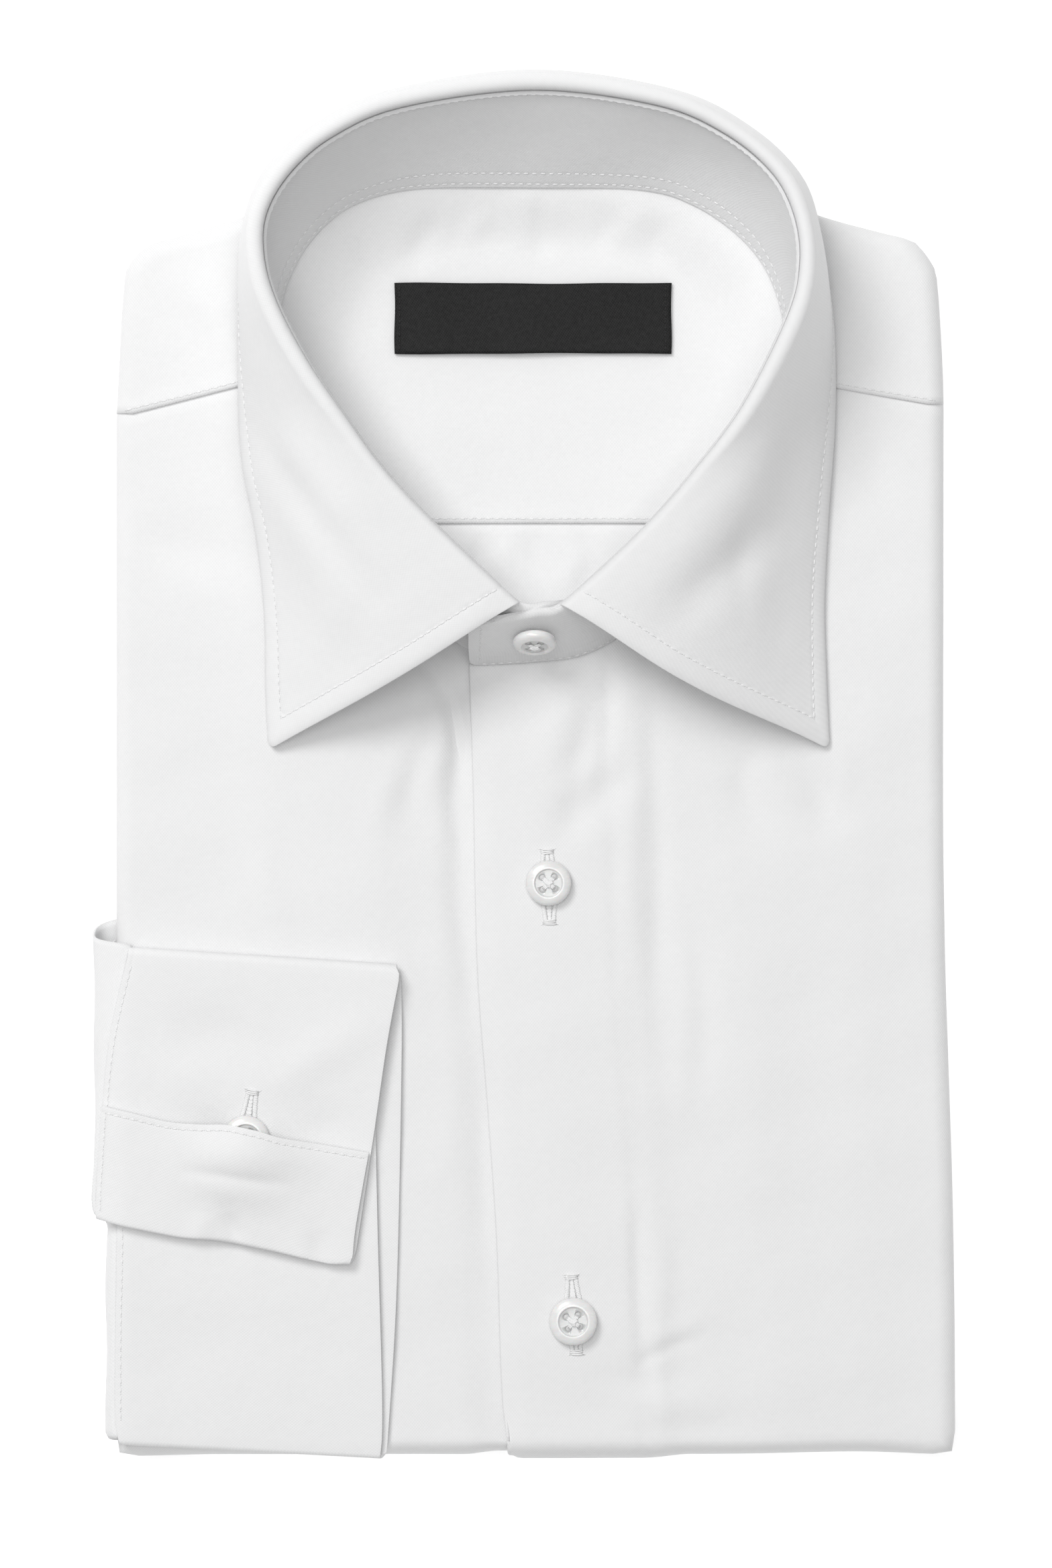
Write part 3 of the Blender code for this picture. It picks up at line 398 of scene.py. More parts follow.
# How far the band's lower fold and its free edge stray from a straight line: x, y
BAND_WAVE = ((-107, 0.0), (-100, -1.2), (-87, -1.7), (-74, 0.0), (-64, -0.6), (-49, -2.0), (-43, -0.4))
RIM_WAVE = ((-107, 1.6), (-98, 0.9), (-88, 0.1), (-80, 0.7), (-73, 1.6), (-67, 1.3), (-60, 0.3),
            (-40, 0.0))
# Creases in the cuff, written like the others
CUFF_CREASES = (
    (-84, -100, -58, -103.5, 1.6, 0.50),
    (-80, -96.0, -52, -98.0, 2.8, -0.28),
    (-86, -103, -62, -107.5, 2.6, -0.28),
    (-90, -66, -66, -67, 7.0, 1.10),
    (-98, -124, -82, -160, 7.0, 0.80),
    (-92, -76, -76, -78, 5.0, -0.50),
    (-38, -64, -66, -80, 5.0, -0.90),
    (-82, -88, -70, -92, 4.0, 0.90),
    (-56, -92, -44, -87, 5.0, 0.80),
    (-94, -150, -70, -138, 7.0, 0.60),
    (-60, -132, -46, -150, 7.0, 0.60),
    (-90, -128, -60, -134, 6.0, -0.40),
    (-74, -110, -71, -119, 2.4, 0.90),
    (-80, -110, -82, -118, 3.0, -0.50),
    (-52, -114, -50, -124, 3.0, 0.70),
)
# The ribbon's folds that show: layer, y at the left end and its change to the right, and the layers
# taken in, under 0 where the fold is a lower one
CUFF_FOLDS = ((1.0, (-45.1, -4.5), 1.3), (2.5, (-111.9, -11.0), -0.8), (0.5, (-167.6, -3.5), -0.8))
CORNER_ROUND = 1.0        # how far the right ends of those folds are drawn in
RELIEF_SHARES = (0.0, 0.45, 0.8, 1.0)   # of the creases in each layer, so that none cross


def smooth(x):
    """0 below 0, 1 above 1 and a soft step between."""
    x = np.clip(x, 0.0, 1.0)
    return x * x * (3.0 - 2.0 * x)


def blend(a, b, share):
    return a + (b - a) * share


def curve(table, at):
    """A smooth curve through a table's (place, value) rows, read at one place or many."""
    places, values = np.array(table, float).T
    rises = np.diff(values) / np.diff(places)
    same_way = rises[:-1] * rises[1:] > 0
    both = np.where(same_way, rises[:-1] + rises[1:], 1.0)
    inner = np.where(same_way, 2 * rises[:-1] * rises[1:] / both, 0.0)
    slopes = np.concatenate([rises[:1], inner, rises[-1:]])
    at = np.clip(at, places[0], places[-1])
    k = np.clip(np.searchsorted(places, at) - 1, 0, len(places) - 2)
    step = places[k + 1] - places[k]
    t = (at - places[k]) / step
    return ((2 * t ** 3 - 3 * t ** 2 + 1) * values[k] + (t ** 3 - 2 * t ** 2 + t) * step * slopes[k]
            + (3 * t ** 2 - 2 * t ** 3) * values[k + 1] + (t ** 3 - t ** 2) * step * slopes[k + 1])


def sections(table, shares, measured=3, fine=12):
    """Rows along a smooth curve through a table's rows: at shares of its length from 0 to 1, or at
    both ends of that many even steps. The length is measured on the first columns."""
    rows = np.array(table, float)
    ends = np.vstack([2 * rows[0] - rows[1], rows, 2 * rows[-1] - rows[-2]])
    points = []
    for a, b, c, d in zip(ends, ends[1:], ends[2:], ends[3:]):
        for t in np.arange(fine) / fine:
            bent = 2 * a - 5 * b + 4 * c - d + t * (3 * (b - c) + d - a)
            points.append(b + 0.5 * t * (c - a + t * bent))
    points = np.array(points + [rows[-1]])
    lengths = np.linalg.norm(np.diff(points[:, :measured], axis=0), axis=1)
    travelled = np.concatenate([[0.0], np.cumsum(lengths)])
    if np.ndim(shares) == 0:
        shares = np.linspace(0.0, 1.0, shares + 1)
    wanted = travelled[-1] * shares
    return np.column_stack([np.interp(wanted, travelled, column) for column in points.T])


def spaced(*parts):
    """Even places in each part, which is a start, an end and a number of places, without doubled ends."""
    return np.concatenate([np.linspace(*part)[min(k, 1):] for k, part in enumerate(parts)])


def neck_ratio(x, y):
    """Distance from the neck's middle, as a share of the neckline's own distance in that direction."""
    ring = np.array(STAND)[LEAF_FIRST:LEAF_LAST, :2] - NECK_CENTRE
    angles = np.arctan2(ring[:, 1], ring[:, 0])
    order = np.argsort(angles)
    radius = np.interp(np.arctan2(y - NECK_CENTRE[1], x - NECK_CENTRE[0]), angles[order],
                       np.hypot(*ring[order].T), period=2 * math.pi)
    return np.hypot(x - NECK_CENTRE[0], y - NECK_CENTRE[1]) / radius


def sunk_in(x, y, crease, ends=0.1, bend=0.0):
    """How deep a crease is at a point. It is shallow at its ends, from that share of a half wave, and
    bend is how far it strays from straight."""
    x0, y0, x1, y1, width, depth = crease
    run = math.hypot(x1 - x0, y1 - y0)
    along = np.clip(((x - x0) * (x1 - x0) + (y - y0) * (y1 - y0)) / run ** 2, 0.0, 1.0)
    strayed = bend * np.sin(5.0 * along + x0)
    off = np.hypot(x - blend(x0, x1, along) - strayed, y - blend(y0, y1, along))
    return depth * np.sin(math.pi * (ends + (1.0 - 2.0 * ends) * along)) * np.exp(-(off / width) ** 2)


def skin(x, y):
    """Height of the cloth on top of the folded body, with its soft folds and the hollow of the neck."""
    height = TOP - NECK_DEPTH * smooth((1.0 - neck_ratio(x, y)) / NECK_SLOPE)
    for fold in SOFT_FOLDS:
        height = height - sunk_in(x, y, fold)
    return height


def past_free_edge(x, y):
    return x - curve(FREE_EDGE, y)


def at_lower_fold(y):
    """1 along the lower fold, falling to 0 further up."""
    return smooth((-140.0 - y) / 20.0)


def placket_share(x, y):
    """1 on the placket, falling to 0 past its crease."""
    return 1.0 - smooth((past_free_edge(x, y) - PLACKET) / 12.0)


def covered_share(x, y):
    """1 where the right front lies under the placket."""
    return smooth((past_free_edge(x, y) + 11.0) / 9.0)


def edge_half(x, y):
    """Half the height of the folded edge next to a point: the lower fold takes in both bundles."""
    from_side = np.minimum(x - curve(LEFT_SIDE, y), curve(RIGHT_SIDE, y) - x) - EDGE_REACH
    return blend(EDGE_HALF, FOLD_HALF, smooth(from_side / FOLD_CORNER) * at_lower_fold(y))


def outward(chain, closed):
    """Each point's outward direction in plan, for a chain that runs anticlockwise seen from above."""
    flat = [vert.co.xy for vert in chain]
    sides = []
    for here, there in zip(flat, flat[1:] + flat[:1]):
        along = (there - here).normalized()
        sides.append(Vector((along.y, -along.x)))
    if not closed:
        sides[-1] = sides[-2]
    found = []
    for k, side in enumerate(sides):
        before = sides[k - 1] if closed or k else side
        both = before + side
        mitre = 2.0 / max(both.length_squared, 0.5)
        found.append(both.normalized() * min(both.length * mitre, CORNER_REACH))
    return found


def extrude_rows(bm, chain, rows, closed=False):
    """Extrude a chain of edges once for each of the rows, which hold a reach and a height per point."""
    start = [vert.co.copy() for vert in chain]
    directions = outward(chain, closed)
    flat_place = bm.verts.layers.float_vector["flat_place"]
    for row in rows:
        pairs = list(zip(chain, chain[1:])) + ([(chain[-1], chain[0])] if closed else [])
        made = bmesh.ops.extrude_edge_only(bm, edges=[bm.edges.get(pair) for pair in pairs])["geom"]
        fresh = {item for item in made if isinstance(item, bmesh.types.BMVert)}
        last = chain
        chain = [next(edge.other_vert(vert) for edge in vert.link_edges if edge.other_vert(vert) in fresh)
                 for vert in last]
        for before, vert, origin, direction, (reach, height) in zip(last, chain, start, directions, row):
            vert.co.xy = origin.xy + direction * reach * MM
            vert.co.z = height * MM
            vert[flat_place] = before[flat_place] + direction.to_3d() * (vert.co - before.co).length
    return chain


def roll_rows(chain, reach, half, turn, steps=5):
    """Reach and height of each point of a folded edge that curls down from a panel."""
    tops = np.array([vert.co.z / MM for vert in chain])
    angles = turn[None, :] * np.arange(1, steps + 1)[:, None] / steps
    return np.dstack([reach * np.sin(angles), tops - half + half * np.cos(angles)])


def plan(chain):
    return np.array([vert.co.xy[:] for vert in chain]).T / MM


def panel_grid(columns, rows, left, right, low, high, height):
    """Points of a panel between four edges: left and right are read at y, low and high at x."""
    u, v = np.meshgrid(np.linspace(0, 1, columns + 1), np.linspace(0, 1, rows + 1))
    nominal = blend(left(0.0), right(0.0), u)
    y = blend(low(nominal), high(nominal), v)
    x = blend(left(y), right(y), u)
    return np.dstack([x, y, height(x, y)])


def lower_edge(x):
    return curve(LOWER_FOLD, x) + EDGE_REACH


def seam_line(ends, x):
    (x0, y0), (x1, y1) = ends
    return blend(y0, y1, (x - x0) / (x1 - x0))


def shoulder_outline(count):
    """The flat part's outline from the left yoke seam over the shoulders to the right one."""
    (_, low_left), (_, low_right) = YOKE_SEAM_LEFT[1], YOKE_SEAM_RIGHT[1]
    up = np.linspace(low_left, 122.5, 12)
    across = np.linspace(-92.0, 94.5, 40)
    down = np.linspace(122.5, low_right, 12)
    left = np.column_stack([curve(LEFT_SIDE, up) + EDGE_REACH, up])
    top = np.column_stack([across, curve(TOP_SIDE, across) - EDGE_REACH])
    right = np.column_stack([curve(RIGHT_SIDE, down) - EDGE_REACH, down])
    return sections(np.vstack([left, top, right]), count, measured=2, fine=2)


def drape(x):
    """How far the cuff sinks where it passes the flat part of the fronts."""
    return CUFF_DRAPE * np.maximum(FLAT_LEFT - x, 0.0) ** 2


def cuff_height(x, y, layer):
    """Middle of one of the cuff's layers. The last one lifts over the button."""
    base = TOP + GAP + CUFF_WALL / 2 + CUFF_LAYER * layer
    bx, by = CUFF_BUTTON
    near = np.exp(-((x - bx) / BAND_LIFT_WIDTH) ** 2 - ((y - by + 3.0) / 12.0) ** 2)
    return base - drape(x) + BAND_LIFT * near * np.clip(layer - 2.0, 0.0, 1.0)


def cuff_rows(columns, run_steps, turn_steps):
    """Rows of the cuff's middle surface along its length, each run from left to right."""
    rows = []
    share = np.linspace(0, 1, columns + 1)[:, None]
    for k, (layer, *lines) in enumerate(CUFF_RUNS):
        table = [[*left, *right] for left, right in lines]
        for line in sections(table, run_steps, measured=4):
            flat = blend(line[None, :2], line[None, 2:], share)
            rows.append(np.column_stack([flat, cuff_height(flat[:, 0], flat[:, 1], layer)]))
        if k + 1 == len(CUFF_RUNS):
            break
        after = CUFF_RUNS[k + 1][0]
        bulge = abs(after - layer) * CUFF_LAYER / 2
        heading = np.sign(lines[-1][0][1] - lines[0][0][1])
        (left_a, right_a), (left_b, right_b) = lines[-1], CUFF_RUNS[k + 1][1]
        for turned in np.arange(1, turn_steps) * math.pi / turn_steps:
            passed = (1.0 - math.cos(turned)) / 2
            line = blend(np.array([*left_a, *right_a]), np.array([*left_b, *right_b]), passed)
            flat = blend(line[None, :2], line[None, 2:], share)
            flat[:, 1] += heading * bulge * math.sin(turned)
            level = blend(layer, after, passed)
            rows.append(np.column_stack([flat, cuff_height(flat[:, 0], flat[:, 1], level)]))
    return np.array(rows)


def above_band(y):
    """1 above the fold of the cuff's turned-up band at its left end, and 0 below it."""
    return smooth((y + 113.6) / 3.0)


def cuff_left_edge(y):
    """Left end and height of the cuff's visible layer at y."""
    flap = [(y0, x0) for _, *lines in CUFF_RUNS[2:3] for (x0, y0), _ in reversed(lines)]
    under = [(y0, x0) for _, *lines in CUFF_RUNS[0:1] for (x0, y0), _ in reversed(lines)]
    above = above_band(y)
    x = blend(curve(under, y), curve(flap, y), above)
    layer = blend(1.0, 2.0, above)
    return x, cuff_height(x, y, layer)


def creased(x, y):
    """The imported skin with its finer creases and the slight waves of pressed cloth."""
    height = skin(x, y)
    for crease in FINE_CREASES:
        height = height - sunk_in(x, y, crease, ends=0.06, bend=1.2)
    wave = (0.42 * np.sin(0.071 * x + 0.043 * y + 0.6) * np.sin(0.052 * y - 0.033 * x + 1.9)
            + 0.16 * np.sin(0.163 * x - 0.117 * y + 2.2) * np.sin(0.127 * y + 0.09 * x))
    under_cuff = smooth((-38.0 - x) / 8.0) * smooth((-38.0 - y) / 8.0)
    return height + wave * (1.0 - 0.8 * under_cuff)


def arc(points, axis):
    """Length travelled to each point of a grid along one of its axes."""
    steps = np.linalg.norm(np.diff(points, axis=axis), axis=2)
    start = np.zeros_like(np.take(steps, [0], axis=axis))
    return np.concatenate([start, np.cumsum(steps, axis=axis)], axis=axis)


def lay(points, weave=None, sewn=None):
    """An open grid of cloth on rows of points. weave is each point's place on the flat cloth, and
    sewn its distances from up to two sewn edges, all in millimetres."""
    bm = bmesh.new()
    rows, columns = points.shape[:2]
    bmesh.ops.create_grid(bm, x_segments=columns - 1, y_segments=rows - 1, size=1.0)
    bm.verts.layers.float_vector.new("flat_place")
    bm.verts.layers.float_vector.new("seam_reach")
    flat_place = bm.verts.layers.float_vector["flat_place"]
    seam_reach = bm.verts.layers.float_vector["seam_reach"]
    if weave is None:
        weave = points[..., :2]
    if sewn is None:
        sewn = np.full(points.shape[:2] + (2,), UNSEWN)
    for vert, point, place, away in zip(bm.verts, points.reshape(-1, 3), weave.reshape(-1, 2),
                                        sewn.reshape(-1, 2)):
        vert.co = Vector(point) * MM
        vert[flat_place] = Vector((*place, 0.0)) * MM
        vert[seam_reach] = Vector((*away, 0.0)) * MM
    return bm


def add_piece(name, bm, looks=(), smooth_shaded=True):
    """Put a finished bmesh in the scene as an object with its finishes."""
    mesh = bpy.data.meshes.new(name)
    bm.to_mesh(mesh)
    bm.free()
    for look in looks:
        mesh.materials.append(look)
    if smooth_shaded:
        mesh.shade_smooth()
    made = bpy.data.objects.new(name, mesh)
    bpy.context.scene.collection.objects.link(made)
    return made


def cloth_piece(name, bm, look, wall, side=-1.0):
    """Finish a sheet: its place, its two maps and the wall, which grows under it at side -1."""
    bmesh.ops.translate(bm, verts=bm.verts[:], vec=TO_ORIGIN)
    for layer, map_name in (("flat_place", "weave"), ("seam_reach", "sewn")):
        bm.loops.layers.uv.new(map_name)
        held = bm.verts.layers.float_vector[layer]
        mapped = bm.loops.layers.uv[map_name]
        for face in bm.faces:
            for loop in face.loops:
                loop[mapped].uv = loop.vert[held].xy
    made = add_piece(name, bm, [look])
    for layer in ("flat_place", "seam_reach"):
        made.data.attributes.remove(made.data.attributes[layer])
    if wall:
        solid = made.modifiers.new("Wall", "SOLIDIFY")
        solid.thickness = wall * MM
        solid.offset = side
        solid.use_even_offset = False
    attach(made, "root")
    return made


def soften(made, width):
    """Round the edges of a piece's wall."""
    edge = made.modifiers.new("Edge", "BEVEL")
    edge.width, edge.segments, edge.profile = width * MM, 3, 0.5
    edge.limit_method, edge.angle_limit = "ANGLE", math.radians(50)
    return made


class Value:
    """A socket in a material's nodes, so that sums over the surface read as sums."""

    def __init__(self, look, socket):
        self.look, self.socket = look, socket

    def maths(self, operation, *values):
        return self.look.node("ShaderNodeMath", {"operation": operation}, values)

    def __add__(self, other):
        return self.maths("ADD", self, other)

    __radd__ = __add__

    def __sub__(self, other):
        return self.maths("SUBTRACT", self, other)

    def __rsub__(self, other):
        return self.maths("SUBTRACT", other, self)

    def __mul__(self, other):
        return self.maths("MULTIPLY", self, other)

    __rmul__ = __mul__

    def sine(self):
        return self.maths("SINE", self)

    def bell(self, place, width):
        """1 at place, falling softly to 0 within about twice the width."""
        off = (self - place) * (1.0 / width)
        return self.maths("EXPONENT", off * off * -1.0)


class Look:
    """A finish: a Principled shader with nodes that vary it over the surface."""

    def __init__(self, name, colour, roughness, **fixed):
        self.material = bpy.data.materials.new(name)
        self.material.use_nodes = True
        self.tree = self.material.node_tree
        self.shader = self.tree.nodes["Principled BSDF"]
        self.feed(self.shader.inputs["Base Color"], colour)
        self.feed(self.shader.inputs["Roughness"], roughness)
        for socket, value in fixed.items():
            self.feed(self.shader.inputs[socket.replace("_", " ")], value)

    def feed(self, socket, value):
        if isinstance(value, Value):
            self.tree.links.new(value.socket, socket)
        elif isinstance(value, tuple) and len(value) == 3 and socket.type == "RGBA":
            socket.default_value = (*value, 1.0)
        else:
            socket.default_value = value

    def node(self, kind, settings=None, values=(), out=0):
        made = self.tree.nodes.new(kind)
        for setting, value in (settings or {}).items():
            setattr(made, setting, value)
        pairs = values.items() if isinstance(values, dict) else enumerate(values)
        for socket, value in pairs:
            self.feed(made.inputs[socket], value)
        return Value(self, made.outputs[out])

    def map(self, name):
        """The two directions of one of the piece's own maps, in millimetres."""
        place = self.node("ShaderNodeUVMap", {"uv_map": name})
        parts = self.node("ShaderNodeSeparateXYZ", values=[place])
        second = Value(self, parts.socket.node.outputs[1])
        return parts * 1000.0, second * 1000.0

    def cloud(self, size, detail=2.0, stretch=(1.0, 1.0, 1.0)):
        """Noise on the object's own coordinates, from about 0 to 1, with features of a size in mm."""
        place = self.node("ShaderNodeTexCoord", out="Object")
        scaled = self.node("ShaderNodeMapping", values={"Vector": place, "Scale": stretch})
        return self.node("ShaderNodeTexNoise", values={"Vector": scaled, "Scale": 1000.0 / size,
                                                       "Detail": detail, "Roughness": 0.55})

    def ramp(self, value, low, high, out_low=0.0, out_high=1.0):
        return self.node("ShaderNodeMapRange", values={"Value": value, "From Min": low, "From Max": high,
                                                       "To Min": out_low, "To Max": out_high})

    def mix(self, share, first, second):
        return self.node("ShaderNodeMix", {"data_type": "RGBA"}, {0: share, 6: first, 7: second}, out=2)

    def vary(self, socket, value):
        """Let one of the shader's sockets change over the surface."""
        self.feed(self.shader.inputs[socket], value)

    def relief(self, height_mm):
        """Bend the surface's light as if it rose by a height in millimetres."""
        self.vary("Normal", self.node("ShaderNodeBump", values={"Strength": 1.0, "Distance": 1.0,
                                                                "Height": height_mm * MM}))


def shirting(name, seams=(), coarse=1.0):
    """Fine white pinpoint cotton. seams are (map direction, place, width, depth) in millimetres."""
    look = Look(name, CLOTH, 0.8, Sheen_Weight=0.12, Sheen_Roughness=0.5, Specular_IOR_Level=0.25)
    u, v = look.map("weave")
    slub = look.cloud(1.6, 3.0)
    warp = ((u + slub * 0.22) * (2 * math.pi / COTTON_PITCH[0])).sine()
    over = warp * ((v + slub * 0.30) * (2 * math.pi / COTTON_PITCH[1])).sine()
    soft = look.cloud(22.0, 2.0)
    fine = look.cloud(7.0, 3.0)
    height = over * (0.017 * coarse) + slub * 0.020 + soft * 0.45 + fine * 0.12
    first, second = look.map("sewn")
    for direction, place, width, depth in seams:
        reach = first if direction == 0 else second
        pucker = ((u + v) * (2 * math.pi / PUCKER_PITCH)).sine() * 0.22 + 1.0
        height = height - reach.bell(place, width) * pucker * depth
    look.relief(height)
    # The colour is darker in the weave's hollows and lighter on its raised threads, which is painted
    # shade of the weave, and it varies at random with the slub
    shade = look.ramp(over * (0.4 * coarse) + slub * 0.5, -0.35, 0.6)
    look.vary("Base Color", look.mix(shade, CLOTH_SHADE_AND_SLUB, CLOTH))
    look.vary("Roughness", look.ramp(slub, 0.2, 0.8, 0.74, 0.9))
    return look.material


def thread_look():
    look = Look("white thread", THREAD_WHITE, 0.6, Sheen_Weight=0.15, Specular_IOR_Level=0.35)
    twist = look.cloud(0.35, 1.0)
    tone = look.ramp(twist, 0.3, 0.7)
    look.vary("Base Color", look.mix(tone, (0.79, 0.79, 0.792), THREAD_WHITE))
    look.relief(twist * 0.03)
    return look.material


def pearl_look(name, dim, bright):
    look = Look(name, bright, 0.25, Coat_Weight=0.5, Coat_Roughness=0.12,
                Subsurface_Weight=0.10, Subsurface_Scale=0.002)
    milk = look.cloud(3.2, 2.5, (1.0, 2.2, 1.0))
    tone = look.ramp(milk, 0.25, 0.85)
    look.vary("Base Color", look.mix(tone, dim, bright))
    look.vary("Roughness", look.ramp(milk, 0.2, 0.8, 0.22, 0.32))
    return look.material


def satin_look():
    look = Look("label satin", (0.012, 0.012, 0.012), 0.6, Sheen_Weight=0.02, Sheen_Roughness=0.4,
                Specular_IOR_Level=0.10)
    u, v = look.map("weave")
    lying = ((u + v * 0.2) * (2 * math.pi / SATIN_PITCH[0])).sine()
    twill = lying * ((v - u * 0.1) * (2 * math.pi / SATIN_PITCH[1])).sine()
    slub = look.cloud(0.8, 2.0)
    look.relief(twill * 0.03 + slub * 0.03)
    # Lighter on the raised twill and darker between its threads, which is painted light and shade of the
    # weave, and varying at random with the slub
    tone = look.ramp(twill * 0.5 + slub, -0.1, 1.1)
    look.vary("Base Color", look.mix(tone, (0.006, 0.006, 0.006), (0.028, 0.028, 0.028)))
    look.vary("Roughness", look.ramp(twill, -1.0, 1.0, 0.42, 0.6))
    return look.material


def shade_look():
    look = Look("shade in the holes", (0.42, 0.42, 0.42), 0.95)
    depth = look.cloud(1.5, 1.0)
    look.vary("Base Color", look.mix(depth, (0.60, 0.60, 0.60), (0.72, 0.72, 0.72)))
    return look.material


def black_thread_look():
    look = Look("black thread", (0.02, 0.02, 0.022), 0.55)
    twist = look.cloud(0.35, 1.0)
    look.vary("Base Color", look.mix(twist, (0.002, 0.002, 0.002), (0.006, 0.006, 0.006)))
    return look.material


def right_front(look):
    """The wearer's right front, from under the placket round the left side and the lower fold."""
    seam_end = YOKE_SEAM_LEFT[0][0]

    def high(x):
        tucked = seam_line(YOKE_SEAM_LEFT, x) + TURNED
        return blend(curve(NECK_EDGE_UNDER, x), tucked, smooth((seam_end - x) / 3.0))

    def left(y):
        return curve(LEFT_SIDE, y) + EDGE_REACH

    def right(y):
        return curve(FREE_EDGE, y) + PLACKET - 3.0

    def height(x, y):
        tuck = smooth((y - seam_line(YOKE_SEAM_LEFT, x) + 1.2) / 1.4) * smooth((seam_end + 2.0 - x) / 3.0)
        return creased(x, y) - UNDER_DIP * covered_share(x, y) - SHELL * tuck

    columns, rows = 92, 150
    points = panel_grid(columns, rows, left, right, lower_edge, high, height)
    bm = lay(points)
    verts = bm.verts[:]
    width = columns + 1
    chain = verts[rows * width::-width] + verts[1:width]
    x, y = plan(chain)
    covered = covered_share(x, y)
    half = edge_half(x, y) - UNDER_DIP * covered
    turn = EDGE_TURN - math.radians(45) * covered
    extrude_rows(bm, chain, roll_rows(chain, EDGE_REACH - UNDER_DIP * covered, half, turn, 14))
    made = cloth_piece("right_front_cloth", bm, look, SHELL)
    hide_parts("front_right")
    return made


def left_front(look):
    """The wearer's left front with its turned placket, whose free edge lies over the other front."""
    seam_end = YOKE_SEAM_RIGHT[0][0]

    def high(x):
        tucked = seam_line(YOKE_SEAM_RIGHT, x) + TURNED
        return blend(curve(NECK_EDGE_OVER, x), tucked, smooth((x - seam_end) / 3.0))

    def left(y):
        return curve(FREE_EDGE, y)

    def right(y):
        return curve(RIGHT_SIDE, y) - EDGE_REACH

    columns, rows = 84, 150
    bm = lay(*front_left_grid(columns, rows, left, right, high, seam_end))
    verts = bm.verts[:]
    width = columns + 1
    chain = verts[:width] + verts[2 * width - 1::width]
    x, y = plan(chain)
    lifted = PLACKET_LIFT * placket_share(x, y) * at_lower_fold(y)
    half = edge_half(x, y) + lifted
    extrude_rows(bm, chain, roll_rows(chain, EDGE_REACH + lifted, half, np.full(len(x), EDGE_TURN), 14))
    free_edge = verts[rows * width::-width]
    x, y = plan(free_edge)
    full = 0.05 + 0.95 * smooth((y + 167.0) / 9.0)
    tops = np.array([vert.co.z / MM for vert in free_edge])
    rounding = [(0.26 * full, tops - 0.10 * full), (0.40 * full, tops - 0.38 * full),
                (0.30 * full, tops - 0.78 * full), (0.05 * full, tops - 0.95 * full)]
    extrude_rows(bm, free_edge, [np.column_stack(row) for row in rounding])
    rounded = bm.verts[:]
    x, y = plan(rounded)
    side, end = corner(x - curve(FREE_EDGE, y) - 0.3, y - LOWEST, HEM_ROUND)
    for vert, right_by, up_by in zip(rounded, side, end):
        vert.co.xy += Vector((right_by, up_by)) * MM
    made = cloth_piece("left_front_cloth", bm, look, SHELL)
    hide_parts("front_left")
    return made


def front_left_height(x, y):
    pressed = 0.45 * (1.0 - smooth(past_free_edge(x, y) / 5.0))
    return creased(x, y) + PLACKET_LIFT * placket_share(x, y) - pressed


def front_left_grid(columns, rows, left, right, high, seam_end):
    """Points, weave and seam reach of the left front. Its reach is measured from the placket's crease."""
    def height(x, y):
        under_seam = smooth((y - seam_line(YOKE_SEAM_RIGHT, x) + 1.2) / 1.4)
        return front_left_height(x, y) - SHELL * (under_seam * smooth((x - seam_end + 2.0) / 3.0))

    points = panel_grid(columns, rows, left, right, lower_edge, high, height)
    x, y = points[..., 0], points[..., 1]
    sewn = np.dstack([past_free_edge(x, y) - PLACKET, np.full_like(x, UNSEWN)])
    return points, points[..., :2], sewn


def yoke_height(x, y):
    """The yoke's cloth, standing a little proud along its seams, where it covers the next piece."""
    left = y - seam_line(YOKE_SEAM_LEFT, x)
    right = y - seam_line(YOKE_SEAM_RIGHT, x)
    front = np.where(x < 0, left, right)
    proud = np.where(np.abs(x) > 58.0, 1.0 - smooth(front / 4.0), 0.0)
    inside = smooth((50.0 - np.abs(x - 2.0)) / 4.0) * (1.0 - smooth((y - BACK_SEAM_Y) / 5.0))
    return creased(x, y) + 0.30 * proud + 0.35 * inside


def shoulders(look):
    """The yoke: over both shoulders, down into the neck and as far as the back seam."""
    count, inner_rows, outer_rows = 150, 52, 25
    ring = np.array(STAND)[YOKE_FIRST:YOKE_LAST, :2]
    ring[0] = YOKE_SEAM_LEFT[0]
    ring[-1] = YOKE_SEAM_RIGHT[0]
    ring = sections(ring, count, measured=2)
    rim = shoulder_outline(count)
    low = np.column_stack([np.linspace(*YOKE_WIDTH, count + 1), np.full(count + 1, BACK_SEAM_Y)])
    inside = [blend(low, ring, share) for share in np.linspace(0, 1, inner_rows)]
    outside = [blend(ring, rim, share) for share in np.linspace(0, 1, outer_rows)[1:]]
    flat = np.array(inside + outside)
    x, y = flat[..., 0], flat[..., 1]
    back = np.vstack([y[:inner_rows] - BACK_SEAM_Y, np.full_like(y[inner_rows:], UNSEWN)])
    front = np.where(x < 0, y - seam_line(YOKE_SEAM_LEFT, x), y - seam_line(YOKE_SEAM_RIGHT, x))
    front = np.vstack([np.full_like(y[:inner_rows], UNSEWN), front[inner_rows:]])
    bm = lay(np.dstack([flat, yoke_height(x, y)]), sewn=np.dstack([back, front]))
    verts = bm.verts[:]
    chain = verts[:-count - 2:-1]
    x, y = plan(chain)
    full = np.full(len(x), 1.0)
    extrude_rows(bm, chain, roll_rows(chain, EDGE_REACH * full, EDGE_HALF * full, EDGE_TURN * full, 12))
    made = cloth_piece("yoke_cloth", bm, look, SHELL)
    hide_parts("yoke")
    return made


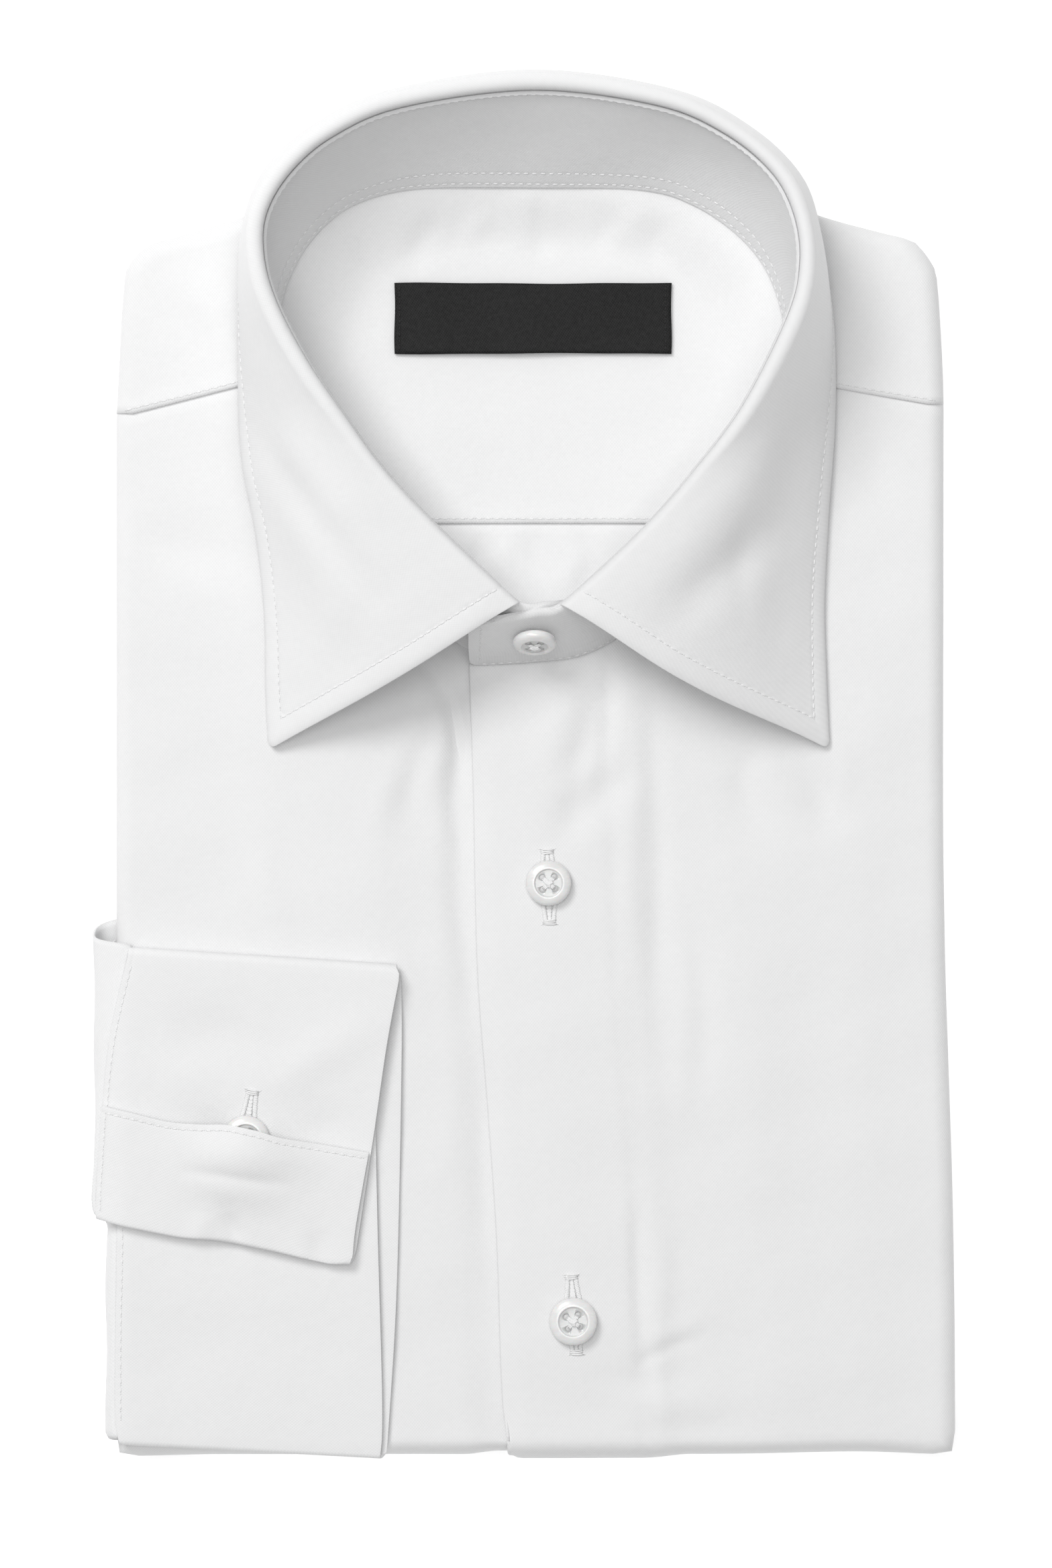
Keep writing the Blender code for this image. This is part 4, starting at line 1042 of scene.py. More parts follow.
def back_inside(look):
    """What shows of the back inside the neck, tucked under the yoke's seam."""
    u, v = np.meshgrid(np.linspace(0, 1, 56), np.linspace(0, 1, 26))
    x = blend(blend(*BACK_LOW_WIDTH, u), blend(*BACK_TOP_WIDTH, u), v)
    y = blend(BACK_LOW_Y + 6.0 * (2 * u - 1) ** 2, BACK_SEAM_Y + TURNED, v)
    tuck = SHELL * smooth((y - BACK_SEAM_Y + 1.2) / 1.4)
    made = cloth_piece("back_cloth", lay(np.dstack([x, y, creased(x, y) - tuck])), look, SHELL)
    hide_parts("back_panel")
    return made


def band_points(places, levels):
    """The stand's inner face: rows up from its seam, columns round it from its hidden end."""
    rows = sections(STAND, places)
    seam, top = rows[:, :3] + (0, 0, TOP - 0.25), rows[:, 3:] + (0, 0, TOP)
    middle = NECK_CENTRE + (TOP,)
    found = []
    for share in levels:
        points = blend(seam, top, share)
        away = points - middle
        away[:, 2] = 0.0
        away /= np.linalg.norm(away, axis=1)[:, None]
        round_it = np.linspace(0.0, 1.0, len(rows))[:, None]
        ripple = 0.45 * np.sin(round_it * 47.0) + 0.35 * np.sin(round_it * 23.0 + 1.0)
        slack = math.sin(math.pi * share) * ripple
        found.append(points + away * (STAND_BOW * math.sin(math.pi * share) + slack))
    return np.array(found)


def band_shape():
    """The stand's inner face with its piped top edge and the rounded end that shows."""
    places = spaced((0, 0.955, 250), (0.955, 1.0, 26))
    levels = spaced((0, 0.08, 5), (0.08, 0.90, 20), (0.90, 1.0, 12))
    points = band_points(places, levels)
    up, along = arc(points, 0), arc(points, 1)
    from_top, from_end = up[-1:] - up, along[:, -1:] - along
    way_up, way_on, inward = ways(points)
    inward = inward * np.sign(np.sum(inward * (NECK_CENTRE + (TOP + 15.0,) - points), axis=2))[..., None]
    piped = 0.80 * np.exp(-((from_top - 0.60) / 0.45) ** 2) * smooth((from_end - 6.0) / 6.0)
    points = points + inward * piped[..., None]
    off_side, off_end = corner(up, from_end, BAND_ROUND)
    return points + way_up * off_side[..., None] - way_on * off_end[..., None], up


def collar_band(look):
    points, up = band_shape()
    weave = np.dstack([arc(points, 1), up])
    made = cloth_piece("collar_band", lay(points, weave, np.dstack([up, up[-1:] - up])), look,
                       BAND_WALL)
    soften(made, BAND_SOFT)
    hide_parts("collar_stand")
    return made


def fall_points(places, rolled, fallen):
    """The collar fall's outer face: up from the stand, over its fold and down to its free edge."""
    tops = np.array(STAND)[LEAF_FIRST:LEAF_LAST, 3:]
    rows = sections(np.hstack([tops, np.array(LEAF_EDGE)]), places)
    fold = rows[:, :3] + (0, 0, TOP + LEAF_START)
    edge = rows[:, 3:] + (0, 0, TOP)
    out = (edge - fold) * (1, 1, 0)
    run = np.linalg.norm(out, axis=1)
    out /= run[:, None]
    up = np.array((0.0, 0.0, 1.0))
    centre = fold + out * LEAF_ROLL
    slope = np.arctan2(fold[:, 2] + LEAF_ROLL - edge[:, 2], run - LEAF_ROLL)
    soft = LEAF_SOFT * smooth((run - 24.0) / 16.0)
    eased = np.arctan((math.pi * LEAF_BOW + 6.75 * soft) / run) * soft / LEAF_SOFT
    levels = []
    for share in rolled:
        angle = blend(math.pi, math.pi / 2 - slope + eased, share)[:, None]
        levels.append(centre + LEAF_ROLL * (out * np.cos(angle) + up * np.sin(angle)))
    start = levels[-1]
    proud = out * np.sin(slope)[:, None] + up * np.cos(slope)[:, None]
    for share in fallen[1:]:
        bow = LEAF_BOW * math.sin(math.pi * share) + soft * 6.75 * share * (1.0 - share) ** 2
        levels.append(blend(start, edge, share) + proud * bow[:, None])
    points = np.array(levels)
    x, y = points[..., 0], points[..., 1]
    fallen_share = np.concatenate([np.zeros(len(rolled)), fallen[1:]])[:, None]
    for hollow in FALL_HOLLOWS:
        sunk = sunk_in(x, y, hollow) * np.sin(math.pi * fallen_share) ** 0.7
        points = points - proud[None] * sunk[..., None]
    wave = 0.22 * np.sin(np.linspace(0, 1, points.shape[1]) * 61.0)
    return points - proud[None] * (wave[None] * fallen_share * (1.0 - 0.6 * fallen_share))[..., None]


def corner(from_side, from_end, radius):
    """How far a point near a square corner moves off each of its two edges to round it."""
    p = np.clip(1.0 - from_side / radius, 0.0, 1.0)
    q = np.clip(1.0 - from_end / radius, 0.0, 1.0)
    pulled = np.maximum(p, q) / np.maximum(np.hypot(p, q), 1e-6) - 1.0
    pulled = np.where((p > 0) & (q > 0), pulled, 0.0) * radius
    return -pulled * p, -pulled * q


def ways(points):
    """Directions down and along a grid of points, and its normal."""
    down, along = np.gradient(points, axis=0), np.gradient(points, axis=1)
    down /= np.linalg.norm(down, axis=2)[..., None]
    along /= np.linalg.norm(along, axis=2)[..., None]
    return down, along, np.cross(along, down)


def fall_shape():
    """The fall with rounded points, bowed front edges and a border that is full up to its seam."""
    points = fall_points(crowded(190, 8, 0.012), np.linspace(0, 1, 12),
                         spaced((0, 0.94, 36), (0.94, 1.0, 9)))
    down, along = arc(points, 0), arc(points, 1)
    from_edge = down[-1:] - down
    from_front = np.minimum(along, along[:, -1:] - along)
    way_down, way_out, up = ways(points)
    on_left = along < along[:, -1:] / 2
    way_out = way_out * np.where(on_left, -1.0, 1.0)[..., None]
    up_by, in_by = corner(from_edge, from_front, TIP_ROUND)
    share = down / down[-1:]
    bow = np.where(on_left, FRONT_BOW[0], FRONT_BOW[1])
    bow = bow * smooth(share / 0.45) * smooth((1.0 - share) / 0.5) * np.exp(-(from_front / 16.0) ** 2)
    border = np.minimum(from_edge, from_front * FALL_SEAM / FRONT_SEAM)
    worn = 0.35 * np.exp(-(border / 0.6) ** 2)
    full = 0.30 * np.sin(math.pi * np.clip(border / FALL_SEAM, 0.0, 1.0)) - worn
    full = full * smooth((down - 5.0) / 4.0)
    points = (points - way_down * up_by[..., None] + way_out * (bow - in_by)[..., None]
              + up * full[..., None])
    return points, border, from_front, np.dstack([along, down])


def crowded(count, near, spread):
    """Shares from 0 to 1 that are closer together at both ends."""
    ends = np.linspace(0, spread, near + 1)
    return np.concatenate([ends[:-1], np.linspace(spread, 1 - spread, count), 1 - ends[-2::-1]])


def collar_fall(look):
    points, border, from_front, weave = fall_shape()
    made = cloth_piece("collar_fall", lay(points, weave, np.dstack([border, from_front])), look,
                       FALL_WALL)
    soften(made, EDGE_SOFT)
    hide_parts("collar_leaf")
    return made


def label_height(x, y):
    """The label lies on the yoke, its two long edges a little proud of it."""
    u = (x - LABEL_X[0]) / (LABEL_X[1] - LABEL_X[0])
    v = (y - LABEL_Y[0]) / (LABEL_Y[1] - LABEL_Y[0])
    free = np.sin(math.pi * np.clip(u, 0, 1)) ** 0.6
    wavy = (0.55 * np.sin(9.0 * u + 0.8) + 0.22 * np.sin(17.0 * u + 2.0)) * (2 * v - 1)
    return creased(x, y) + GAP + 0.75 + free * (0.30 * (2 * v - 1) ** 2 + 0.45 * wavy + 0.3)


def neck_label(look):
    u, v = np.meshgrid(np.linspace(0, 1, 72), np.linspace(0, 1, 20))
    x = blend(*LABEL_X, u) + 0.10 * np.sin(7.0 * v) * (2 * u - 1)
    y = blend(*LABEL_Y, v) + (v - 0.5) * (0.25 * np.sin(6.0 * u + 1.0) + 0.10 * np.sin(19.0 * u))
    made = cloth_piece("neck_label_satin", lay(np.dstack([x, y, label_height(x, y)])), look, LABEL_WALL)
    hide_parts("neck_label")
    return made


def cuff_relief(x, y):
    """How far the cuff's outermost layer sinks in its creases."""
    sunk = sum(sunk_in(x, y, crease) for crease in CUFF_CREASES)
    return 1.10 * sunk + 0.30 * np.sin(0.11 * x + 0.05 * y) * np.sin(0.07 * y + 1.0)


def cuff_face(columns, run_steps, turn_steps):
    """Rows of the cuff's middle surface, with its wavy fold and creases."""
    rows = cuff_rows(columns, run_steps, turn_steps)
    x, y = rows[..., 0], rows[..., 1]
    share = (x - BAND_SPAN[0]) / BAND_SPAN[1]
    fold_line = BAND_FOLD[0] + BAND_FOLD[1] * share
    top_layers = smooth((rows[..., 2] + drape(x) - (TOP + GAP + 2.6 * CUFF_LAYER)) / CUFF_LAYER)
    near_fold = np.exp(-((y - fold_line) / 6.0) ** 2) * top_layers
    moved = curve(BAND_WAVE, x) * near_fold
    level = (rows[..., 2] + drape(x) - TOP - GAP - CUFF_WALL / 2) / CUFF_LAYER
    near_rim = np.exp(-((y - BAND_RIM[0] - BAND_RIM[1] * share) / 5.0) ** 2)
    moved = moved + curve(RIM_WAVE, x) * near_rim * (level > 2.6)
    sunk = cuff_relief(x, y) * np.interp(level, range(4), RELIEF_SHARES)
    pulled = np.zeros_like(x)
    for layer, line, above in CUFF_FOLDS:
        beyond = np.sign(above) * (y - line[0] - line[1] * share) + 2.2
        near = np.clip(beyond / 2.4, 0.0, 1.0) ** 2 * (np.abs(level - layer) < abs(above))
        pulled = np.maximum(pulled, CORNER_ROUND * near)
    x = x - pulled * smooth((np.linspace(-1.0, 1.0, columns + 1)[None, :] - 0.86) / 0.14)
    return np.dstack([x, y + moved, rows[..., 2] - sunk])


def flap_height(x, y):
    return cuff_height(x, y, 2) - RELIEF_SHARES[2] * cuff_relief(x, y) + CUFF_WALL / 2


def cuff_ribbon(look):
    points = cuff_face(*CUFF_GRID)
    across, length = arc(points, 1), arc(points, 0)
    to_end = length[-1:] - length
    weave = np.dstack([length, across])
    sewn = np.dstack([across, to_end])
    made = cloth_piece("cuff_ribbon", lay(points, weave, sewn), look, RIBBON_WALL, side=0.0)
    soften(made, EDGE_SOFT)
    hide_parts("cuff")
    return made


def sleeve_face(around, along):
    """Rows round the body's left side, columns from the open top down to the fold and back."""
    y, shown = np.array(SLEEVE_LOOP, float).T
    centre_z = TOP - EDGE_HALF
    reach = blend(*SLEEVE_REACH, above_band(y))
    seam_x, seam_z = cuff_left_edge(y)
    diagonal = SLEEVE_INNER * math.sqrt(0.5)
    level = np.ones_like(y)
    curl = SLEEVE_CURL * smooth((-160.0 - y) / 5.0)
    inner = ((FLAT_LEFT - CUFF_WALL - curl, centre_z + SLEEVE_INNER),
             (FLAT_LEFT - 0.45 * diagonal - curl, centre_z + 1.28 * diagonal),
             (FLAT_LEFT - diagonal, centre_z + diagonal),
             (FLAT_LEFT - SLEEVE_INNER, centre_z), (FLAT_LEFT - diagonal, centre_z - diagonal),
             (FLAT_LEFT, centre_z - SLEEVE_INNER), (SLEEVE_END, centre_z - SLEEVE_INNER))
    low_z = centre_z - 6.9
    outer = ((seam_x + 1.0, seam_z - 1.5),
             (seam_x - 1.1, seam_z - 1.15),
             (FLAT_LEFT - 0.92 * reach, blend(centre_z, seam_z, 0.45)),
             (FLAT_LEFT - reach, centre_z - 1.0), (FLAT_LEFT - 0.75 * reach, centre_z - 5.2),
             (FLAT_LEFT - 1.0, low_z), (SLEEVE_END, low_z))
    rows = []
    at_top = smooth((y + 62.0) / 18.0)
    across = zip(SLEEVE_TUCKED, inner, outer, *SLEEVE_RISE)
    for tucked, (xi, zi), (xo, zo), rise_in, rise_out in across:
        narrowed = y + tucked * SLEEVE_TAPER * smooth((-140.0 - y) / 25.0)
        narrowed = narrowed + at_top * blend(rise_in, rise_out, shown)
        rows.append(np.column_stack([blend(xi * level, xo, shown), narrowed,
                                     blend(zi * level, zo, shown)]))
    path = np.array(rows)
    fine = sections(path.reshape(len(path), -1), around, measured=3, fine=8)
    table = fine.reshape(len(fine), len(y), 3).transpose(1, 0, 2).reshape(len(y), -1)
    points = sections(table, along, measured=3, fine=8).reshape(along + 1, len(fine), 3)
    points = points.transpose(1, 0, 2)
    wave = 0.22 * np.sin(points[..., 1] * 0.21 + 0.7) * np.sin(np.linspace(0.2, 2.9, len(fine)))[:, None]
    return points + np.dstack([wave, 0 * wave, 0.4 * wave])


def sleeve_strip(look):
    points = sleeve_face(36, 210)
    weave = np.dstack([arc(points, 0), arc(points, 1)])
    made = cloth_piece("sleeve_strip", lay(points, weave), look, STRIP_WALL, side=0.0)
    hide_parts("sleeve")
    return made


def layer_rows(chain):
    """Profile of the hidden layers: one fold of the upper bundle, the gap, two lobes of the lower
    bundle with the edges of their single layers, and the flat underside."""
    x, y = plan(chain)
    half = edge_half(x, y)
    at_left = smooth((-80.0 - x) / 10.0)
    near_sleeve = at_left * smooth((y - SLEEVE_SPAN[0]) / 4.0) * smooth((SLEEVE_SPAN[1] - y) / 6.0)
    low_top = TOP - 2 * half - LAYER_STEP - SLEEVE_ROOM * near_sleeve
    groove = -GROOVE - (SLEEVE_GROOVE - GROOVE) * near_sleeve
    bulge = LOWER_BULGE * np.clip(low_top / 6.0, 0.05, 1.0)
    low = smooth((-150.0 - y) / 12.0)
    wander = 0.30 * np.sin(0.061 * x + 0.083 * y) + 0.22 * np.sin(0.17 * x - 0.14 * y + 1.0)
    rows = []
    lobe = half - CORE_DOWN
    for angle in np.radians(np.arange(15, 181, 15)):
        reach = CORE_REACH * math.sin(angle) * (1.0 - 0.25 * low)
        rows.append((reach, TOP - half + lobe * math.cos(angle)))
    under = TOP - half - lobe
    rows.append((groove, under - 0.05))
    rows.append((groove, low_top + 0.1))
    steps = 14
    for lobe_number in (0.0, 0.5):
        for k in range(steps):
            part = k / steps
            height = low_top * (1.0 - lobe_number - 0.5 * part)
            layer = 0.28 * math.cos(part * 3 * 2 * math.pi) * math.sin(math.pi * part)
            reach = 0.6 + bulge * (math.sin(math.pi * part) ** 0.7 * 0.92) - 2.2 * low
            rows.append((reach + (layer + 0.5 * wander * math.sin(math.pi * part)) * (1 - low), height))
    rows.append((0.6 - 2.2 * low, 0.0 * x))
    return np.array([np.column_stack(row) for row in rows])


def hidden_layers(look):
    """The folded back, lower fronts, tails and other sleeve, layered where their edges show."""
    def left(y):
        return curve(LEFT_SIDE, y) + EDGE_REACH + CORE_SHOULDER * smooth((y - 100.0) / 14.0)

    def right(y):
        return curve(RIGHT_SIDE, y) - EDGE_REACH - CORE_SHOULDER * smooth((y - 100.0) / 14.0)

    def high(x):
        return curve(TOP_SIDE, x) - EDGE_REACH - CORE_CORNER * smooth((abs(x) - 76.0) / 16.0)

    def height(x, y):
        in_neck = smooth((1.2 - neck_ratio(x, y)) / 0.08)
        return skin(x, y) - CORE_DOWN - NECK_SPARE * in_neck

    columns, rows = 64, 100
    bm = lay(panel_grid(columns, rows, left, right, lower_edge, high, height))
    verts = bm.verts[:]
    width = columns + 1
    chain = (verts[:width] + verts[2 * width - 1:rows * width:width]
             + verts[:rows * width - 1:-1] + verts[(rows - 1) * width:0:-width])
    for vert in chain:
        vert.co.z = (TOP - CORE_DOWN) * MM
    last = extrude_rows(bm, chain, layer_rows(chain), closed=True)
    edges = [bm.edges.get(pair) for pair in zip(last, last[1:] + last[:1])]
    for _ in range(3):
        made = bmesh.ops.extrude_edge_only(bm, edges=edges)["geom"]
        fresh = [item for item in made if isinstance(item, bmesh.types.BMVert)]
        edges = [item for item in made if isinstance(item, bmesh.types.BMEdge)
                 and all(vert in fresh for vert in item.verts)]
        for vert in fresh:
            vert.co.xy *= 0.7
    bmesh.ops.contextual_create(bm, geom=fresh)
    bmesh.ops.recalc_face_normals(bm, faces=bm.faces[:])
    made = cloth_piece("hidden_layers", bm, look, 0.0)
    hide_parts("folded_layers")
    return made


def place_on(points, row, column):
    """Positions and normals at fractional rows and columns of a grid of points."""
    def read(r, c):
        r, c = np.clip(r, 0, points.shape[0] - 1.001), np.clip(c, 0, points.shape[1] - 1.001)
        i, j = np.floor(r).astype(int), np.floor(c).astype(int)
        fr, fc = (r - i)[:, None], (c - j)[:, None]
        here = blend(points[i, j], points[i, j + 1], fc)
        return blend(here, blend(points[i + 1, j], points[i + 1, j + 1], fc), fr)

    row, column = np.asarray(row, float), np.asarray(column, float)
    along_row = read(row, column + 0.5) - read(row, column - 0.5)
    along_column = read(row + 0.5, column) - read(row - 0.5, column)
    normal = np.cross(along_row, along_column)
    return read(row, column), normal / np.linalg.norm(normal, axis=1)[:, None]


def pressed_run(path, height, up=0.0):
    """A run of stitches over the panels: a smooth path in plan, laid at a height function."""
    spots = sections(path, max(12 * len(path), 24), measured=2)
    x, y = spots[:, 0], spots[:, 1]
    z = height(x, y) + up
    slope_x = (height(x + 0.4, y) - height(x - 0.4, y)) / 0.8
    slope_y = (height(x, y + 0.4) - height(x, y - 0.4)) / 0.8
    normal = np.column_stack([-slope_x, -slope_y, np.ones_like(x)])
    return np.column_stack([x, y, z]), normal / np.linalg.norm(normal, axis=1)[:, None]


def evenly(points, normals, pitch):
    """Places at an even pitch along a run, each with its direction and normal."""
    travelled = np.concatenate([[0.0], np.cumsum(np.linalg.norm(np.diff(points, axis=0), axis=1))])
    count = max(int(travelled[-1] / pitch), 1)
    wanted = (np.arange(count) + 0.5) * travelled[-1] / count

    def read(table, at):
        return np.column_stack([np.interp(at, travelled, column) for column in table.T])

    ahead = read(points, wanted + 0.3) - read(points, wanted - 0.3)
    return zip(read(points, wanted), ahead, read(normals, wanted))


def rounded_bar(bm, place, spot, axes, segments):
    """A small ellipsoid with its middle and three half axes in millimetres, then moved by place."""
    turn = Matrix(axes).transposed() * MM
    where = place @ Matrix.Translation(spot * MM) @ turn.to_4x4()
    return bmesh.ops.create_uvsphere(bm, u_segments=segments[0], v_segments=segments[1], radius=1.0,
                                     matrix=where)["verts"]


def add_stitch(bm, centre, along, normal, length, width, height, look=0):
    """A bar of thread, and its finish among the piece's own."""
    along = Vector(along).normalized()
    normal = Vector(normal).normalized()
    side = along.cross(normal).normalized()
    normal = side.cross(along)
    axes = (side * width / 2, along * length / 2, normal * height / 2)
    made = rounded_bar(bm, Matrix.Identity(4), Vector(centre) - Vector((*CENTRE, 0.0)), axes, (6, 4))
    for face in {face for vert in made for face in vert.link_faces}:
        face.material_index = look


def gather(whole, part):
    """Move a small bmesh into the whole: an operator on a small one is far quicker."""
    step = bpy.data.meshes.new("step")
    part.to_mesh(step)
    part.free()
    whole.from_mesh(step)
    bpy.data.meshes.remove(step)


def stitches(name, runs, looks, pitch=PITCH, length=STITCH, width=THREAD):
    """Rows of stitches, each a small rounded bar of thread with a needle hole after it, a small grey bar
    of painted shade.
    """
    whole = bmesh.new()
    for number, (points, normals) in enumerate(runs):
        places = list(evenly(points, normals, pitch))
        for first in range(0, len(places), BATCH):
            part = bmesh.new()
            for k, (centre, along, normal) in enumerate(places[first:first + BATCH]):
                drift = 0.05 * math.sin(12.9898 * (k + first) + 78.233 * number)
                side = np.cross(along, normal)
                centre = centre + side / np.linalg.norm(side) * drift
                size = length * (1 + 1.2 * drift)
                add_stitch(part, centre + normal * 0.05, along, normal, size, width, THREAD_TALL)
                # The needle hole is a small grey bar in the second finish that stands for the shade in
                # the hole: painted shade
                hole = centre + along / np.linalg.norm(along) * pitch / 2 + normal * 0.01
                add_stitch(part, hole, along, normal, *NEEDLE_HOLE_SHADE, look=1)
            gather(whole, part)
    made = add_piece(name, whole, looks)
    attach(made, "root")
    return made


def buttonhole(name, low, high, height, looks, open_at=0.5, lip=1.5, pitch=0.42):
    """Whip stitches on both lips of a slit, a bar tack at each end and the shade in the slit. The
    lips part towards open_at, a share of the slit's length, where the button goes through."""
    low, high = np.array(low, float), np.array(high, float)
    length = math.hypot(*(high - low))
    run = (high - low) / length
    across = np.array((run[1], -run[0]))
    bm = bmesh.new()

    def bar(spot, direction, size, width, tall=0.36, up=0.06, look=0):
        centre = (*spot, float(height(*spot)) + up)
        add_stitch(bm, centre, (*direction, 0.0), (0.0, 0.0, 1.0), size, width, tall, look)

    def parted(at):
        share = at / length
        near = share / open_at if share < open_at else (1.0 - share) / (1.0 - open_at)
        return 0.22 + 0.95 * smooth(near)

    for at in np.arange(0.9, length - 0.7, 0.9):
        bar(low + run * at, run, 1.6, 2 * parted(at) + 0.5, 0.10, 0.03, look=1)
    for side in (-1, 1):
        for k, at in enumerate(np.arange(0.8, length - 0.6, pitch)):
            lean = 0.42 + 0.12 * math.sin(7.7 * k + side)
            thick = 0.56 + 0.06 * math.sin(5.1 * k + 2 * side)
            spot = low + run * at + across * side * (parted(at) + lip / 2)
            bar(spot, across * side + run * lean, lip, thick)
    for end, way in ((0.3, -1), (length - 0.3, 1)):
        for k in range(3):
            sway = 0.12 * math.sin(4.0 * k + end)
            bar(low + run * (end - way * 0.46 * k) + across * sway, across + run * 0.05 * (k - 1),
                2 * lip + 0.9 - 0.25 * k, 0.52, 0.66, 0.24)
        for side in (-1, 1):
            spot = low + run * (end + way * 0.1) + across * side * (lip + 0.35)
            bar(spot, across * side + run * way * 0.4, 0.9, 0.2, 0.2, 0.05)
    made = add_piece(name, bm, looks)
    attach(made, "root")
    return made


def shirt_button(name, node, size, place, looks, turned=0.0):
    """A four-hole pearl button with its crossed thread, turned by some degrees."""
    pearl, disc, thread, shade = looks
    place = Matrix.Translation(TO_ORIGIN) @ place @ Matrix.Rotation(math.radians(turned), 4, "Z")
    radius = size / 2
    bm = bmesh.new()
    ring = [bm.verts.new(Vector((r * radius, 0.0, h * BUTTON_HEIGHT)) * MM) for r, h in PEARL_PROFILE]
    edges = [bm.edges.new(pair) for pair in zip(ring, ring[1:])]
    bmesh.ops.spin(bm, geom=ring + edges, cent=(0, 0, 0), axis=(0, 0, 1), angle=2 * math.pi,
                   steps=64, use_merge=True, use_duplicate=False)
    bmesh.ops.remove_doubles(bm, verts=bm.verts[:], dist=1e-6)
    bmesh.ops.recalc_face_normals(bm, faces=bm.faces[:])
    # Faces of the sunk disc take the second finish, a darker copy of the pearl: painted shade in the
    # recess
    for face in bm.faces:
        x, y, z = face.calc_center_median() / MM
        face.material_index = int(math.hypot(x, y) < 0.60 * radius and z > 0.5 * BUTTON_HEIGHT)
    bmesh.ops.transform(bm, matrix=place, verts=bm.verts[:])
    made = add_piece(name, bm, (pearl, disc))
    holes = bmesh.new()
    corners = ((1, 1), (-1, 1), (-1, -1), (1, -1))
    for x, y in corners:
        spot = Matrix.Translation(Vector((x * HOLE_PLACE, y * HOLE_PLACE, BUTTON_HEIGHT / 2)) * MM)
        bmesh.ops.create_cone(holes, cap_ends=True, segments=20, radius1=HOLE_RADIUS * MM,
                              radius2=HOLE_RADIUS * MM, depth=3 * BUTTON_HEIGHT * MM, matrix=place @ spot)
    drill = add_piece(name + "_drill", holes, smooth_shaded=False)
    cut = made.modifiers.new("Holes", "BOOLEAN")
    cut.operation, cut.solver, cut.object = "DIFFERENCE", "EXACT", drill
    seen = made.evaluated_get(bpy.context.evaluated_depsgraph_get())
    drilled = bpy.data.meshes.new_from_object(seen)
    made.modifiers.clear()
    made.data = drilled
    drilled.name = name
    bpy.data.objects.remove(drill)
    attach(made, "root")
    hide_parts(node)

    # Two crossed bars of three strands each, and a knot of thread over them
    bm = bmesh.new()
    level = PEARL_SUNK * BUTTON_HEIGHT
    for number, ((xa, ya), (xb, yb)) in enumerate(((corners[0], corners[2]), (corners[1], corners[3]))):
        direction = Vector((xb - xa, yb - ya, 0.0)).normalized()
        side = Vector((-direction.y, direction.x, 0.0))
        for strand in (-1, 0, 1):
            spot = side * 0.32 * strand + Vector((0, 0, level + 0.12 + 0.20 * number))
            reach = HOLE_PLACE * math.sqrt(2) + 0.1
            rounded_bar(bm, place, spot, (side * 0.27, direction * reach, Vector((0, 0, 0.26))), (8, 6))
    for k in range(8):
        around = 2.1 * k + 0.4
        direction = Vector((math.cos(around), math.sin(around), 0.0))
        side = Vector((-direction.y, direction.x, 0.0))
        spot = side * 0.35 * math.sin(3.0 * k) + direction * 0.2 + Vector((0, 0, level + 0.36 + 0.04 * k))
        rounded_bar(bm, place, spot, (side * 0.36, direction * 1.05, Vector((0, 0, 0.32))), (8, 6))
    # The shade in the holes, and the shank of thread under the button
    for x, y in corners:
        filled = (PEARL_SUNK - 0.06) * BUTTON_HEIGHT
        spot = Vector((x * HOLE_PLACE, y * HOLE_PLACE, filled / 2))
        plug = bmesh.ops.create_cone(bm, cap_ends=True, segments=20, radius1=0.99 * HOLE_RADIUS * MM,
                                     radius2=0.99 * HOLE_RADIUS * MM, depth=filled * MM,
                                     matrix=place @ Matrix.Translation(spot * MM))["verts"]
        for face in {face for vert in plug for face in vert.link_faces}:
            face.material_index = 1
    shank = Matrix.Translation(Vector((0, 0, -0.45)) * MM)
    bmesh.ops.create_cone(bm, cap_ends=True, segments=16, radius1=1.5 * MM, radius2=1.9 * MM,
                          depth=1.3 * MM, matrix=place @ shank)
    sewn = add_piece(name + "_thread", bm, (thread, shade))
    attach(sewn, "root")
    return made, sewn


def collar_button_place():
    """On the end of the stand that shows, which is past the middle of its rows, at its own slope."""
    rows = sections(STAND, 400)
    seam, top = rows[:, :3] + (0, 0, TOP + SEAM_UP), rows[:, 3:] + (0, 0, TOP)
    shown = [k for k in range(201, len(seam)) if seam[k][1] < 40]
    k = min(shown, key=lambda k: abs(seam[k][0] - COLLAR_BUTTON_X))
    up = Vector(top[k] - seam[k]).normalized()
    facing = Vector((0.0, -up.z, up.y)).normalized()
    spot = Vector(blend(seam[k], top[k], COLLAR_BUTTON_UP))
    spot += facing * (STAND_WALL + STAND_BOW + 1.5 * GAP)
    across = up.cross(facing).normalized()
    turn = Matrix((across, up, facing)).transposed().to_4x4()
    return Matrix.Translation(spot * MM) @ turn


def on_grid(points, rows, columns, lift=0.0, up=None):
    """A run of stitches over a piece's own grid of points, lifted off its face. up turns the face."""
    spots, normals = place_on(points, rows, columns)
    if up is not None:
        normals = normals * np.where(normals @ np.array(up) < 0, -1.0, 1.0)[:, None]
    return spots + normals * lift, normals


